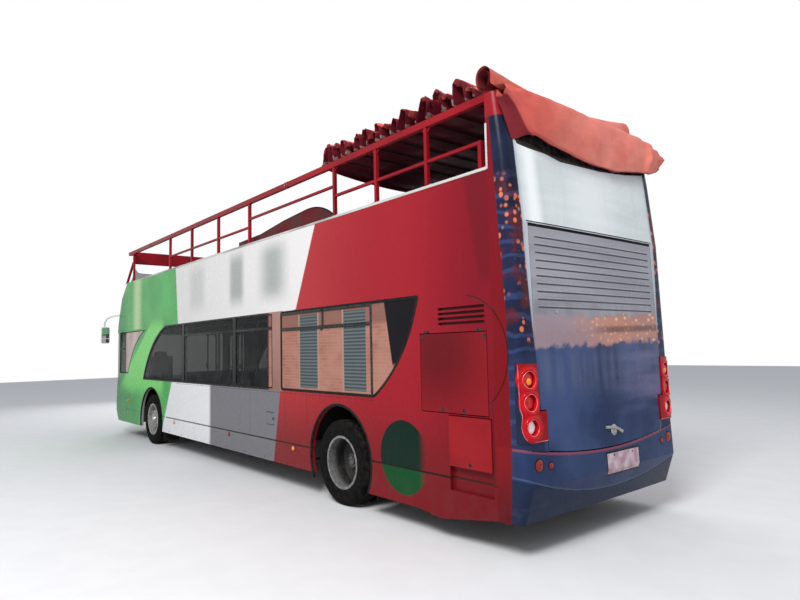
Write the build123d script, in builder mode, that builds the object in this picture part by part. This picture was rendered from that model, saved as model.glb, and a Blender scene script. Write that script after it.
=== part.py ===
from build123d import *
import math
import os

os.makedirs("parts", exist_ok=True)

# An open top double decker bus, in millimetres.
# X runs forward, Y to the bus's left and Z up from the road; the origin is under the middle of the bus.

# Driving dimensions of the body
WIDTH = 2500
WALL = 55
SKIRT_Z = 300
DECK_Z = 2290
UPPER_FLOOR_Z = 2400
PARAPET_Z = 3330
RAIL_TOP_Z = 3995
CANOPY_TOP_Z = 4265
HALF_WIDTH = WIDTH / 2
INNER_Y = HALF_WIDTH - WALL

# Running gear
FRONT_AXLE_X = 3240
REAR_AXLE_X = -3300
TYRE_R = 479
TYRE_W = 275
RIM_R = 286
WHEEL_Y = 1090
TWIN_Y = 780
KINGPIN_Y = 930

# Planes across the bus where the walls change to the nose and the tail
NOSE_ROOT_X = 2400
CHEEK_ROOT_X = 4150
TAIL_ROOT_X = -5660

# Gaps: a door's edge, and a bearing's radial clearance
DOOR_GAP = 8
FIT = 0.5


def block(x, y, z, mode=Mode.ADD):
    """Box between the limits x, y and z, each a (low, high) pair."""
    with Locations(((x[0] + x[1]) / 2, (y[0] + y[1]) / 2, (z[0] + z[1]) / 2)):
        Box(x[1] - x[0], y[1] - y[0], z[1] - z[0], mode=mode)


def side_span(side, low, high):
    """The (low, high) pair in Y that lies between two distances from the middle, on side +1 or -1."""
    return (low, high) if side > 0 else (-high, -low)


def side_plane(side, distance=HALF_WIDTH):
    """Vertical plane along the bus at a distance from the middle, drawn on in X and Z."""
    return Plane.XZ.offset(-side * distance)


def pillar(x, y, z, radius, mode=Mode.ADD):
    """Upright cylinder on the axis (x, y) between the heights in z."""
    with Locations((x, y, (z[0] + z[1]) / 2)):
        Cylinder(radius, z[1] - z[0], mode=mode)


def cross_tube(x, z, y, radius, mode=Mode.ADD):
    """Cylinder across the bus on the axis (x, z) between the places in y."""
    with Locations((x, (y[0] + y[1]) / 2, z)):
        Cylinder(radius, y[1] - y[0], rotation=(90, 0, 0), mode=mode)


def rod(start, end, radius):
    """Round bar between two points."""
    way = Vector(end) - Vector(start)
    with BuildSketch(Plane(origin=start, z_dir=way)) as section:
        Circle(radius)
    extrude(section.sketch, amount=way.length)


# The nose and the tail are lofts of plan outlines. Columns: height, reach from the middle of the bus.
NOSE = [
    (300, 5830),
    (520, 5985),
    (700, 6000),
    (1100, 5960),
    (2290, 5960),
    (2560, 5880),
    (3000, 5680),
    (3330, 5290),
    (3720, 4700),
]
TAIL = [
    (300, 5900),
    (600, 6000),
    (920, 5985),
    (2810, 5930),
    (3500, 5865),
    (3990, 5800),
]
NOSE_CORNER_R = 280
NOSE_BULGE = 120
TAIL_CORNER_R = 90
TAIL_BULGE = 15
OVERRUN = 20


def end_outline(z, reach, root_x, corner, bulge, inset):
    """Plan outline at height z: straight sides from root_x, round corners and a bulged end face."""
    way = 1 if root_x > 0 else -1
    half = HALF_WIDTH - inset
    tip = reach - inset
    round_r = corner - inset
    straight = tip - bulge - round_r
    turn = round_r * math.sqrt(0.5)
    with BuildSketch(Plane.XY.offset(z)) as outline:
        with BuildLine():
            side_ends = {}
            face_ends = {}
            for side in (1, -1):
                start = (root_x, side * half)
                side_ends[side] = (way * straight, side * half)
                middle = (way * (straight + turn), side * (half - round_r + turn))
                face_ends[side] = (way * (tip - bulge), side * (half - round_r))
                Line(start, side_ends[side])
                ThreePointArc(side_ends[side], middle, face_ends[side])
            ThreePointArc(face_ends[1], (way * tip, 0), face_ends[-1])
            Line((root_x, half), (root_x, -half))
        make_face()
    return outline.sketch


def end_body(table, root_x, corner, bulge, inset, overrun=0):
    """Solid nose or tail, set in from the outer skin by inset."""
    last = len(table) - 1
    outlines = []
    for row, (z, reach) in enumerate(table):
        stretch = {0: -overrun, last: overrun}.get(row, 0)
        outlines.append(end_outline(z + stretch, reach, root_x, corner, bulge, inset))
    with BuildPart() as body:
        loft(sections=outlines, ruled=True)
    return body.part


def nose_body(inset, overrun=0):
    return end_body(NOSE, NOSE_ROOT_X, NOSE_CORNER_R, NOSE_BULGE, inset, overrun)


def tail_body(inset, overrun=0):
    return end_body(TAIL, TAIL_ROOT_X, TAIL_CORNER_R, TAIL_BULGE, inset, overrun)


nose_outer = nose_body(0)
nose_inner = nose_body(WALL, OVERRUN)
tail_outer = tail_body(0)
tail_inner = tail_body(WALL, OVERRUN)

# Far limits that reach past the bus
FAR_X = 7000
FAR_Z = 6000
ALL_Y = (-2000, 2000)

# Window openings of the body side. Columns: rear bottom, front bottom, rear top and front top in X.
WINDOW_Z = (1262, 2262)
REAR_WINDOW = (-3978, -1980, -4705, -1980)
REAR_WINDOW_BEND = (-4435, 1694)
PLAIN_WINDOWS = {
    1: [(-1730, -590), (-490, 1500)],
    -1: [(-1730, -1010), (460, 1500)],
}
FRONT_WINDOW = (1600, 3740, 1600, 2450)
FRONT_WINDOW_BEND = (3330, 1790)
DRIVER_WINDOW = (4790, 5400, 3640, 5400)
DRIVER_WINDOW_Z = (1350, 2240)
DRIVER_WINDOW_BEND = (4370, 1880)
GLASS_T = 10
GLASS_SET = 6


def window_outline(side, corners, heights, bend=None):
    """Window shape on the body side; bend is the middle of an arched sloping edge."""
    rear_low, front_low, rear_high, front_high = corners
    low, high = heights
    with BuildSketch(side_plane(side)) as outline:
        with BuildLine():
            if bend is None:
                Polyline(
                    (rear_low, low),
                    (front_low, low),
                    (front_high, high),
                    (rear_high, high),
                    close=True,
                )
            elif front_high < front_low:
                Polyline((front_high, high), (rear_high, high), (rear_low, low), (front_low, low))
                ThreePointArc((front_low, low), bend, (front_high, high))
            else:
                Polyline((rear_low, low), (front_low, low), (front_high, high), (rear_high, high))
                ThreePointArc((rear_high, high), bend, (rear_low, low))
        make_face()
    return outline.sketch


def cut_window(side, corners, heights, bend=None):
    outline = window_outline(side, corners, heights, bend)
    extrude(outline, amount=WALL * 2, both=True, mode=Mode.SUBTRACT)


def cut_arch(side, x, z, radius):
    cross_tube(x, z, side_span(side, INNER_Y - WALL, HALF_WIDTH + WALL), radius, Mode.SUBTRACT)


# Wheel arches: centre height and radius at each axle
FRONT_ARCH_Z, FRONT_ARCH_R = 440, 640
REAR_ARCH_Z, REAR_ARCH_R = 520, 600

# Doorways on the right side, (rear, front) in X
DOORWAY_TOP_Z = 2230
FRONT_DOORWAY = (4250, 5200)
MIDDLE_DOORWAY = (-900, 350)

# Service openings of the left side: the engine door, the side flap with its pocket, the fuel flap
ENGINE_DOORWAY = {"x": (-5600, -4730), "z": (1155, 1900)}
FLAP_POCKET = {"x": (-5628, -5102), "z": (470, 1146)}
FUEL_POCKET = {"x": (-1776, -1568), "z": (774, 946)}
POCKET_DEPTH = 40

REAR_SKIRT_Z = 230
REAR_STEP_X = (-4960, -4660)
REAR_STEP_Z = 190

# Sunk into the sides: a groove along the skirt, and the air slots over the engine door
GROOVE = {"z": (574, 588), "depth": 8}
SLOT_COUNT = 4
SLOT = {"x": (-5578, -4992), "first_z": 1968, "pitch": 46, "height": 26, "depth": 34}


def cut_groove(side, x):
    inner = HALF_WIDTH - GROOVE["depth"]
    block(x, side_span(side, inner, HALF_WIDTH + WALL), GROOVE["z"], Mode.SUBTRACT)


def side_wall(side):
    """Body side from the skirt to the upper floor, between the tail and the nose."""
    with BuildPart() as wall:
        with BuildSketch(side_plane(side)):
            with BuildLine():
                Polyline(
                    (TAIL_ROOT_X, SKIRT_Z),
                    (REAR_STEP_X[0], REAR_STEP_Z),
                    (REAR_STEP_X[1], REAR_SKIRT_Z),
                    (REAR_AXLE_X, REAR_SKIRT_Z),
                    (REAR_AXLE_X, SKIRT_Z),
                    (NOSE_ROOT_X, SKIRT_Z),
                    (NOSE_ROOT_X, DECK_Z),
                    (TAIL_ROOT_X, DECK_Z),
                    close=True,
                )
            make_face()
        extrude(amount=side * WALL)
        cut_arch(side, REAR_AXLE_X, REAR_ARCH_Z, REAR_ARCH_R)
        cut_window(side, REAR_WINDOW, WINDOW_Z, REAR_WINDOW_BEND)
        for rear, front in PLAIN_WINDOWS[side]:
            cut_window(side, (rear, front, rear, front), WINDOW_Z)
        cut_window(side, FRONT_WINDOW, WINDOW_Z, FRONT_WINDOW_BEND)
        cut_groove(side, (TAIL_ROOT_X, NOSE_ROOT_X))
    return wall


with BuildPart() as side_wall_left:
    add(side_wall(1).part)
    block(ENGINE_DOORWAY["x"], (INNER_Y - WALL, HALF_WIDTH + WALL), ENGINE_DOORWAY["z"], Mode.SUBTRACT)
    for pocket in (FLAP_POCKET, FUEL_POCKET):
        block(pocket["x"], (HALF_WIDTH - POCKET_DEPTH, HALF_WIDTH + WALL), pocket["z"], Mode.SUBTRACT)
    for slot in range(SLOT_COUNT):
        slot_z = SLOT["first_z"] + slot * SLOT["pitch"]
        slot_y = (HALF_WIDTH - SLOT["depth"], HALF_WIDTH + WALL)
        block(SLOT["x"], slot_y, (slot_z, slot_z + SLOT["height"]), Mode.SUBTRACT)
side_wall_left.part.label = "side_wall_left"
export_step(side_wall_left.part, "parts/side_wall_left.step")

with BuildPart() as side_wall_right:
    add(side_wall(-1).part)
    block(MIDDLE_DOORWAY, (-HALF_WIDTH - WALL, -INNER_Y + WALL), (0, DOORWAY_TOP_Z), Mode.SUBTRACT)
side_wall_right.part.label = "side_wall_right"
export_step(side_wall_right.part, "parts/side_wall_right.step")

for name, side in (("left", 1), ("right", -1)):
    with BuildPart() as parapet:
        block((TAIL_ROOT_X, CHEEK_ROOT_X), side_span(side, INNER_Y, HALF_WIDTH), (DECK_Z, PARAPET_Z))
    parapet.part.label = f"parapet_{name}"
    export_step(parapet.part, f"parts/parapet_{name}.step")

# Nose: the bumper, the lower shell, the upper shell and the two windscreens
BUMPER_ROOT_X = 4880
BUMPER_TOP_Z = 700
SCREEN_ROOT_X = 5480
HEADLAMP = {"y": (560, 1000), "z": (760, 960)}
SCREEN_Z = (1100, 2240)
UPPER_SCREEN_Z = (2800, 3720)
UPPER_SCREEN_Y = 1150
UPPER_SCREEN_ROOT_X = 4300

with BuildPart() as nose_shell:
    add(nose_outer)
    add(nose_inner, mode=Mode.SUBTRACT)

with BuildPart() as front_lower:
    add(nose_shell.part)
    block((NOSE_ROOT_X, FAR_X), ALL_Y, (SKIRT_Z, DECK_Z), Mode.INTERSECT)
    block((BUMPER_ROOT_X, FAR_X), ALL_Y, (0, BUMPER_TOP_Z), Mode.SUBTRACT)
    block((SCREEN_ROOT_X, FAR_X), ALL_Y, SCREEN_Z, Mode.SUBTRACT)
    for side in (1, -1):
        cut_arch(side, FRONT_AXLE_X, FRONT_ARCH_Z, FRONT_ARCH_R)
        cut_window(side, FRONT_WINDOW, WINDOW_Z, FRONT_WINDOW_BEND)
        cut_groove(side, (NOSE_ROOT_X, BUMPER_ROOT_X))
        block((SCREEN_ROOT_X, FAR_X), side_span(side, *HEADLAMP["y"]), HEADLAMP["z"], Mode.SUBTRACT)
    cut_window(1, DRIVER_WINDOW, DRIVER_WINDOW_Z, DRIVER_WINDOW_BEND)
    block(FRONT_DOORWAY, (-HALF_WIDTH - WALL, -INNER_Y + WALL), (0, DOORWAY_TOP_Z), Mode.SUBTRACT)
front_lower.part.label = "front_lower"
export_step(front_lower.part, "parts/front_lower.step")

with BuildPart() as bumper_front:
    add(nose_shell.part)
    block((BUMPER_ROOT_X, FAR_X), ALL_Y, (SKIRT_Z, BUMPER_TOP_Z), Mode.INTERSECT)
    block(FRONT_DOORWAY, (-HALF_WIDTH - WALL, -INNER_Y + WALL), (0, BUMPER_TOP_Z), Mode.SUBTRACT)
bumper_front.part.label = "bumper_front"
export_step(bumper_front.part, "parts/bumper_front.step")

with BuildPart() as front_upper:
    add(nose_shell.part)
    block((CHEEK_ROOT_X, FAR_X), ALL_Y, (DECK_Z, PARAPET_Z), Mode.INTERSECT)
    block(
        (UPPER_SCREEN_ROOT_X, FAR_X),
        (-UPPER_SCREEN_Y, UPPER_SCREEN_Y),
        (UPPER_SCREEN_Z[0], PARAPET_Z + WALL),
        Mode.SUBTRACT,
    )
front_upper.part.label = "front_upper"
export_step(front_upper.part, "parts/front_upper.step")

SCREEN_SKIN = (8, 24)
with BuildPart() as windscreens:
    add(nose_body(SCREEN_SKIN[0]))
    add(nose_body(SCREEN_SKIN[1], OVERRUN), mode=Mode.SUBTRACT)
    block((UPPER_SCREEN_ROOT_X, FAR_X), ALL_Y, (SCREEN_Z[0], UPPER_SCREEN_Z[1]), Mode.INTERSECT)
    block((UPPER_SCREEN_ROOT_X, SCREEN_ROOT_X), ALL_Y, (0, DECK_Z), Mode.SUBTRACT)
    block((UPPER_SCREEN_ROOT_X, FAR_X), ALL_Y, (SCREEN_Z[1], UPPER_SCREEN_Z[0]), Mode.SUBTRACT)
    for side in (1, -1):
        block(
            (UPPER_SCREEN_ROOT_X, FAR_X),
            side_span(side, UPPER_SCREEN_Y, HALF_WIDTH),
            UPPER_SCREEN_Z,
            Mode.SUBTRACT,
        )
windscreens.part.label = "windscreens"
export_step(windscreens.part, "parts/windscreens.step")

with BuildPart() as side_glass:
    for side in (1, -1):
        panes = [(REAR_WINDOW, WINDOW_Z, REAR_WINDOW_BEND), (FRONT_WINDOW, WINDOW_Z, FRONT_WINDOW_BEND)]
        panes += [((rear, front, rear, front), WINDOW_Z, None) for rear, front in PLAIN_WINDOWS[side]]
        if side > 0:
            panes.append((DRIVER_WINDOW, DRIVER_WINDOW_Z, DRIVER_WINDOW_BEND))
        for corners, heights, bend in panes:
            extrude(window_outline(side, corners, heights, bend), amount=side * (GLASS_SET + GLASS_T))
        block((-FAR_X, FAR_X), side_span(side, HALF_WIDTH - GLASS_SET, HALF_WIDTH), WINDOW_Z, Mode.SUBTRACT)
side_glass.part.label = "side_glass"
export_step(side_glass.part, "parts/side_glass.step")

# Tail: the frame with its lamp places, the bumper and the hatch that lifts about its top edge
BUMPER_SEAM = {"half": 1300, "side_z": 930, "middle_z": 800}
HATCH_WIDE_Y = 1040
HATCH_NARROW_Y = 950
HATCH_WAIST_Z = 1215
HATCH_LOW_GAP = 12
HATCH_TOP_Z = 2790
HATCH_OPENING_TOP_Z = 2820
RIB_COUNT = 10
RIB = {"first_z": 2080, "pitch": 68, "height": 14, "depth": 9, "y": (-960, 960)}
LAMP_Z = (965, 1612)
LAMP_ROOT_X = -5895
REAR_WALL_X = (-5700, TAIL_ROOT_X)
REAR_WALL_TOP_Z = 3900
REAR_WALL_Y = INNER_Y + WALL / 2

with BuildPart() as tail_shell:
    add(tail_outer)
    add(tail_inner, mode=Mode.SUBTRACT)


def below_seam(lift):
    """Everything under the curved top edge of the rear bumper, the edge raised by lift."""
    half = BUMPER_SEAM["half"]
    side_z = BUMPER_SEAM["side_z"] + lift
    with BuildPart() as low:
        with BuildSketch(Plane.YZ.offset(-FAR_X)):
            with BuildLine():
                Polyline((-half, side_z), (-half, -OVERRUN), (half, -OVERRUN), (half, side_z))
                ThreePointArc((half, side_z), (0, BUMPER_SEAM["middle_z"] + lift), (-half, side_z))
            make_face()
        extrude(amount=FAR_X)
    return low.part


bumper_part = below_seam(0)
under_hatch = below_seam(HATCH_LOW_GAP)

with BuildPart() as rear_frame:
    add(tail_shell.part)
    add(bumper_part, mode=Mode.SUBTRACT)
    block((-FAR_X, 0), (-HATCH_WIDE_Y, HATCH_WIDE_Y), (HATCH_WAIST_Z, HATCH_OPENING_TOP_Z), Mode.SUBTRACT)
    block((-FAR_X, 0), (-HATCH_NARROW_Y, HATCH_NARROW_Y), (0, HATCH_WAIST_Z), Mode.SUBTRACT)
    for side in (1, -1):
        block((-FAR_X, LAMP_ROOT_X), side_span(side, HATCH_NARROW_Y, HALF_WIDTH), LAMP_Z, Mode.SUBTRACT)
    block(REAR_WALL_X, (-REAR_WALL_Y, REAR_WALL_Y), (DECK_Z, REAR_WALL_TOP_Z))
rear_frame.part.label = "rear_frame"
export_step(rear_frame.part, "parts/rear_frame.step")

with BuildPart() as bumper_rear:
    add(tail_shell.part)
    add(bumper_part, mode=Mode.INTERSECT)
bumper_rear.part.label = "bumper_rear"
export_step(bumper_rear.part, "parts/bumper_rear.step")

with BuildPart() as hatch_grooves:
    for rib in range(RIB_COUNT):
        rib_z = RIB["first_z"] + rib * RIB["pitch"]
        block((-FAR_X, REAR_WALL_X[0]), RIB["y"], (rib_z, rib_z + RIB["height"]))
    add(tail_body(RIB["depth"], OVERRUN), mode=Mode.SUBTRACT)

with BuildPart() as rear_hatch:
    add(tail_shell.part)
    block(
        (-FAR_X, REAR_WALL_X[0]),
        (-HATCH_WIDE_Y + DOOR_GAP, HATCH_WIDE_Y - DOOR_GAP),
        (0, HATCH_TOP_Z),
        Mode.INTERSECT,
    )
    add(under_hatch, mode=Mode.SUBTRACT)
    for side in (1, -1):
        block(
            (-FAR_X, 0),
            side_span(side, HATCH_NARROW_Y - DOOR_GAP, HALF_WIDTH),
            (0, HATCH_WAIST_Z + DOOR_GAP),
            Mode.SUBTRACT,
        )
    add(hatch_grooves.part, mode=Mode.SUBTRACT)
rear_hatch.part.label = "rear_hatch"
export_step(rear_hatch.part, "parts/rear_hatch.step")

# Lamps: a cluster on each rear corner with three round lamps in cups, and headlamps that follow the nose.
# Columns of the cups: distance from the middle, height, radius.
LAMP_PROUD = 12
LAMP_CUPS = [(1146, 1479, 70), (1143, 1291, 70), (1133, 1087, 66)]
CUP_X = (-6000, -5928)
LENS_X = (-5940, -5920)
LENS_RIM = 10
LAMP_FIT = 4
LAMP_INNER_Y = HATCH_WIDE_Y + DOOR_GAP

with BuildPart() as headlamps:
    for side in (1, -1):
        block(
            (SCREEN_ROOT_X, FAR_X),
            side_span(side, HEADLAMP["y"][0] + LAMP_FIT, HEADLAMP["y"][1] - LAMP_FIT),
            (HEADLAMP["z"][0] + LAMP_FIT, HEADLAMP["z"][1] - LAMP_FIT),
        )
    add(nose_shell.part, mode=Mode.INTERSECT)

with BuildPart() as lamps:
    add(tail_body(-LAMP_PROUD))
    add(tail_body(WALL - LAMP_PROUD, OVERRUN), mode=Mode.SUBTRACT)
    block((-FAR_X, LAMP_ROOT_X), ALL_Y, LAMP_Z, Mode.INTERSECT)
    block((-FAR_X, 0), (-HATCH_NARROW_Y - DOOR_GAP, HATCH_NARROW_Y + DOOR_GAP), LAMP_Z, Mode.SUBTRACT)
    block((-FAR_X, 0), (-LAMP_INNER_Y, LAMP_INNER_Y), (HATCH_WAIST_Z, LAMP_Z[1]), Mode.SUBTRACT)
    for side in (1, -1):
        for cup_y, cup_z, cup_r in LAMP_CUPS:
            with Locations(((CUP_X[0] + CUP_X[1]) / 2, side * cup_y, cup_z)):
                Cylinder(cup_r, CUP_X[1] - CUP_X[0], rotation=(0, 90, 0), mode=Mode.SUBTRACT)
            with Locations(((LENS_X[0] + LENS_X[1]) / 2, side * cup_y, cup_z)):
                Cylinder(cup_r - LENS_RIM, LENS_X[1] - LENS_X[0], rotation=(0, 90, 0))
    add(headlamps.part)
lamps.part.label = "lamps"
export_step(lamps.part, "parts/lamps.step")

# Service doors of the left side: each hangs on its outer edge
DOOR_T = 40
FLAP_T = 30
FLAP_PROUD = 12
FLAP_LOW_Z = 690
FUEL_FLAP_T = 20

with BuildPart() as engine_door:
    block(
        (ENGINE_DOORWAY["x"][0] + DOOR_GAP, ENGINE_DOORWAY["x"][1] - DOOR_GAP),
        (HALF_WIDTH - DOOR_T, HALF_WIDTH),
        (ENGINE_DOORWAY["z"][0] + DOOR_GAP, ENGINE_DOORWAY["z"][1] - DOOR_GAP),
    )
engine_door.part.label = "engine_door"
export_step(engine_door.part, "parts/engine_door.step")

with BuildPart() as side_flap:
    block(
        (FLAP_POCKET["x"][0] + DOOR_GAP, FLAP_POCKET["x"][1] - DOOR_GAP),
        (HALF_WIDTH + FLAP_PROUD - FLAP_T, HALF_WIDTH + FLAP_PROUD),
        (FLAP_LOW_Z, FLAP_POCKET["z"][1] - DOOR_GAP),
    )
side_flap.part.label = "side_flap"
export_step(side_flap.part, "parts/side_flap.step")

with BuildPart() as fuel_flap:
    block(
        (FUEL_POCKET["x"][0] + DOOR_GAP, FUEL_POCKET["x"][1] - DOOR_GAP),
        (HALF_WIDTH - FUEL_FLAP_T, HALF_WIDTH),
        (FUEL_POCKET["z"][0] + DOOR_GAP, FUEL_POCKET["z"][1] - DOOR_GAP),
    )
fuel_flap.part.label = "fuel_flap"
export_step(fuel_flap.part, "parts/fuel_flap.step")

# Passenger door leaves of the right side: a frame around one pane
LEAF_Z = (330, DOORWAY_TOP_Z - DOOR_GAP)
LEAF_BORDER = 70
LEAF_PANE_T = 10
MIDDLE_X = (MIDDLE_DOORWAY[0] + MIDDLE_DOORWAY[1]) / 2
LEAVES = {
    "front_door": (FRONT_DOORWAY[0] + DOOR_GAP, FRONT_DOORWAY[1] - DOOR_GAP),
    "middle_door_rear": (MIDDLE_DOORWAY[0] + DOOR_GAP, MIDDLE_X - DOOR_GAP / 2),
    "middle_door_front": (MIDDLE_X + DOOR_GAP / 2, MIDDLE_DOORWAY[1] - DOOR_GAP),
}
for name, leaf_x in LEAVES.items():
    pane_x = (leaf_x[0] + LEAF_BORDER, leaf_x[1] - LEAF_BORDER)
    pane_z = (LEAF_Z[0] + LEAF_BORDER, LEAF_Z[1] - LEAF_BORDER)
    with BuildPart() as leaf:
        block(leaf_x, (-HALF_WIDTH, -HALF_WIDTH + DOOR_T), LEAF_Z)
        block(pane_x, (-HALF_WIDTH, -HALF_WIDTH + DOOR_T), pane_z, Mode.SUBTRACT)
        middle_y = -HALF_WIDTH + DOOR_T / 2
        block(pane_x, (middle_y - LEAF_PANE_T / 2, middle_y + LEAF_PANE_T / 2), pane_z)
    leaf.part.label = name
    export_step(leaf.part, f"parts/{name}.step")

# Lower deck: a low floor, a raised floor over the rear axle and the bulkhead before the engine
LOW_FLOOR_Z = (380, 420)
HIGH_FLOOR_Z = (710, 750)
FLOOR_STEP_X = -2300
BULKHEAD_X = (-4340, -4300)
HOUSING_INNER_Y = 600
HOUSING_T = 20
HOUSING_HALF = 650
HOUSING_TOP_Z = 1135

with BuildPart() as lower_floor:
    add(nose_inner)
    block((NOSE_ROOT_X, FAR_X), ALL_Y, LOW_FLOOR_Z, Mode.INTERSECT)
    block((FLOOR_STEP_X, NOSE_ROOT_X), (-INNER_Y, INNER_Y), LOW_FLOOR_Z)
    block((FLOOR_STEP_X - HOUSING_T, FLOOR_STEP_X), (-INNER_Y, INNER_Y), (LOW_FLOOR_Z[0], HIGH_FLOOR_Z[1]))
    block((BULKHEAD_X[0], FLOOR_STEP_X), (-INNER_Y, INNER_Y), HIGH_FLOOR_Z)
    block(BULKHEAD_X, (-INNER_Y, INNER_Y), (HIGH_FLOOR_Z[0], DECK_Z))
    for axle_x in (FRONT_AXLE_X, REAR_AXLE_X):
        for side in (1, -1):
            block(
                (axle_x - HOUSING_HALF, axle_x + HOUSING_HALF),
                side_span(side, HOUSING_INNER_Y, HALF_WIDTH),
                (0, HOUSING_TOP_Z),
                Mode.SUBTRACT,
            )
lower_floor.part.label = "lower_floor"
export_step(lower_floor.part, "parts/lower_floor.step")

with BuildPart() as wheel_housings:
    for axle_x, floor_z in ((FRONT_AXLE_X, LOW_FLOOR_Z[0]), (REAR_AXLE_X, HIGH_FLOOR_Z[0])):
        for side in (1, -1):
            block(
                (axle_x - HOUSING_HALF, axle_x + HOUSING_HALF),
                side_span(side, HOUSING_INNER_Y, INNER_Y),
                (floor_z, HOUSING_TOP_Z),
            )
            block(
                (axle_x - HOUSING_HALF + HOUSING_T, axle_x + HOUSING_HALF - HOUSING_T),
                side_span(side, HOUSING_INNER_Y + HOUSING_T, HALF_WIDTH),
                (0, HOUSING_TOP_Z - HOUSING_T),
                Mode.SUBTRACT,
            )
wheel_housings.part.label = "wheel_housings"
export_step(wheel_housings.part, "parts/wheel_housings.step")

# Upper deck floor with the stairwell on the left
WELL = {"x": (-3050, -1150), "y": (420, 1150)}
with BuildPart() as upper_floor:
    add(nose_inner)
    block((CHEEK_ROOT_X, FAR_X), ALL_Y, (DECK_Z, UPPER_FLOOR_Z), Mode.INTERSECT)
    block((TAIL_ROOT_X, CHEEK_ROOT_X), (-INNER_Y, INNER_Y), (DECK_Z, UPPER_FLOOR_Z))
    block(WELL["x"], WELL["y"], (0, UPPER_FLOOR_Z + WALL), Mode.SUBTRACT)
upper_floor.part.label = "upper_floor"
export_step(upper_floor.part, "parts/upper_floor.step")

# Stairs: nine rises from the low floor up to the rear end of the well
STEPS = 9
RISE = (UPPER_FLOOR_Z - LOW_FLOOR_Z[1]) / STEPS
GOING = 215
TREAD_T = 25
STAIR_TOP_X = WELL["x"][0]
STAIR_Y = (450, 1120)
STRINGER_T = 25
STRINGER_H = 260
with BuildPart() as stairs:
    run = (STEPS - 1) * GOING
    for side_y in (STAIR_Y[0], STAIR_Y[1] - STRINGER_T):
        with BuildSketch(side_plane(1, side_y + STRINGER_T)) as stringer:
            with BuildLine():
                Polyline(
                    (STAIR_TOP_X + run, LOW_FLOOR_Z[1]),
                    (STAIR_TOP_X + run, LOW_FLOOR_Z[1] + RISE),
                    (STAIR_TOP_X, UPPER_FLOOR_Z - TREAD_T),
                    (STAIR_TOP_X, UPPER_FLOOR_Z - TREAD_T - STRINGER_H),
                    (STAIR_TOP_X + run - GOING, LOW_FLOOR_Z[1]),
                    close=True,
                )
            make_face()
        extrude(stringer.sketch, amount=STRINGER_T)
    for step in range(1, STEPS):
        tread_z = LOW_FLOOR_Z[1] + step * RISE
        tread_x = STAIR_TOP_X + (STEPS - step) * GOING
        block((tread_x - GOING - TREAD_T, tread_x), STAIR_Y, (tread_z - TREAD_T, tread_z))
        block((tread_x - TREAD_T, tread_x), STAIR_Y, (tread_z - RISE, tread_z))
    block(
        (STAIR_TOP_X, STAIR_TOP_X + TREAD_T),
        STAIR_Y,
        (UPPER_FLOOR_Z - RISE - TREAD_T, UPPER_FLOOR_Z - TREAD_T),
    )
stairs.part.label = "stairs"
export_step(stairs.part, "parts/stairs.step")

# Guard around the stairwell: side walls with a curved top, a front wall and a lid over the front half
GUARD_T = 25
GUARD_FRONT_X = -550
GUARD_REAR = (-3100, 3400)
GUARD_BEND = (-2880, 3505)
LID_REAR = (-1930, 3510)
GUARD_TOP = [(GUARD_FRONT_X, 3410), (-1260, 3430), LID_REAR, (-2480, 3550)]
GUARD_Y = (WELL["y"][0] - GUARD_T, WELL["y"][1] + GUARD_T)
with BuildPart() as stair_cover:
    for wall_y in (GUARD_Y[0], GUARD_Y[1] - GUARD_T):
        with BuildSketch(side_plane(1, wall_y + GUARD_T)) as guard:
            with BuildLine():
                Polyline(
                    (GUARD_REAR[0], UPPER_FLOOR_Z),
                    (GUARD_FRONT_X, UPPER_FLOOR_Z),
                    *GUARD_TOP,
                )
                ThreePointArc(GUARD_TOP[-1], GUARD_BEND, GUARD_REAR)
                Line(GUARD_REAR, (GUARD_REAR[0], UPPER_FLOOR_Z))
            make_face()
        extrude(guard.sketch, amount=GUARD_T)
    block((GUARD_FRONT_X - GUARD_T, GUARD_FRONT_X), GUARD_Y, (UPPER_FLOOR_Z, GUARD_TOP[0][1]))
    with BuildSketch(side_plane(1, GUARD_Y[1])) as lid:
        with BuildLine():
            Polyline(
                *GUARD_TOP[:3],
                (LID_REAR[0], LID_REAR[1] - GUARD_T),
                (GUARD_TOP[1][0], GUARD_TOP[1][1] - GUARD_T),
                (GUARD_FRONT_X, GUARD_TOP[0][1] - GUARD_T),
                close=True,
            )
        make_face()
    extrude(lid.sketch, amount=GUARD_Y[1] - GUARD_Y[0])
stair_cover.part.label = "stair_cover"
export_step(stair_cover.part, "parts/stair_cover.step")

# Seats: pairs on both sides of the aisle, each pair one pan and back on a pedestal
SEAT_PAIR_Y = (270, 1140)
SEAT_PITCH = 760
SEAT_PAN_Z = (390, 450)
SEAT_PAN_DEPTH = 430
SEAT_BACK_T = 60
SEAT_BACK_RAKE = 110
PEDESTAL_T = 90


def seat_pair(x, side, floor_z, back_top):
    """One pair of seats that faces forward; x is the rear foot of the back."""
    with BuildSketch(side_plane(side, SEAT_PAIR_Y[1])) as section:
        with BuildLine():
            Polyline(
                (x + PEDESTAL_T, floor_z),
                (x + 2 * PEDESTAL_T, floor_z),
                (x + 2 * PEDESTAL_T, floor_z + SEAT_PAN_Z[0]),
                (x + SEAT_PAN_DEPTH + SEAT_BACK_T, floor_z + SEAT_PAN_Z[0]),
                (x + SEAT_PAN_DEPTH + SEAT_BACK_T, floor_z + SEAT_PAN_Z[1]),
                (x + SEAT_BACK_T, floor_z + SEAT_PAN_Z[1]),
                (x + SEAT_BACK_T - SEAT_BACK_RAKE, floor_z + back_top),
                (x - SEAT_BACK_RAKE, floor_z + back_top),
                (x, floor_z + SEAT_PAN_Z[0]),
                (x + PEDESTAL_T, floor_z + SEAT_PAN_Z[0]),
                close=True,
            )
        make_face()
    extrude(section.sketch, amount=side * (SEAT_PAIR_Y[1] - SEAT_PAIR_Y[0]))


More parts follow.
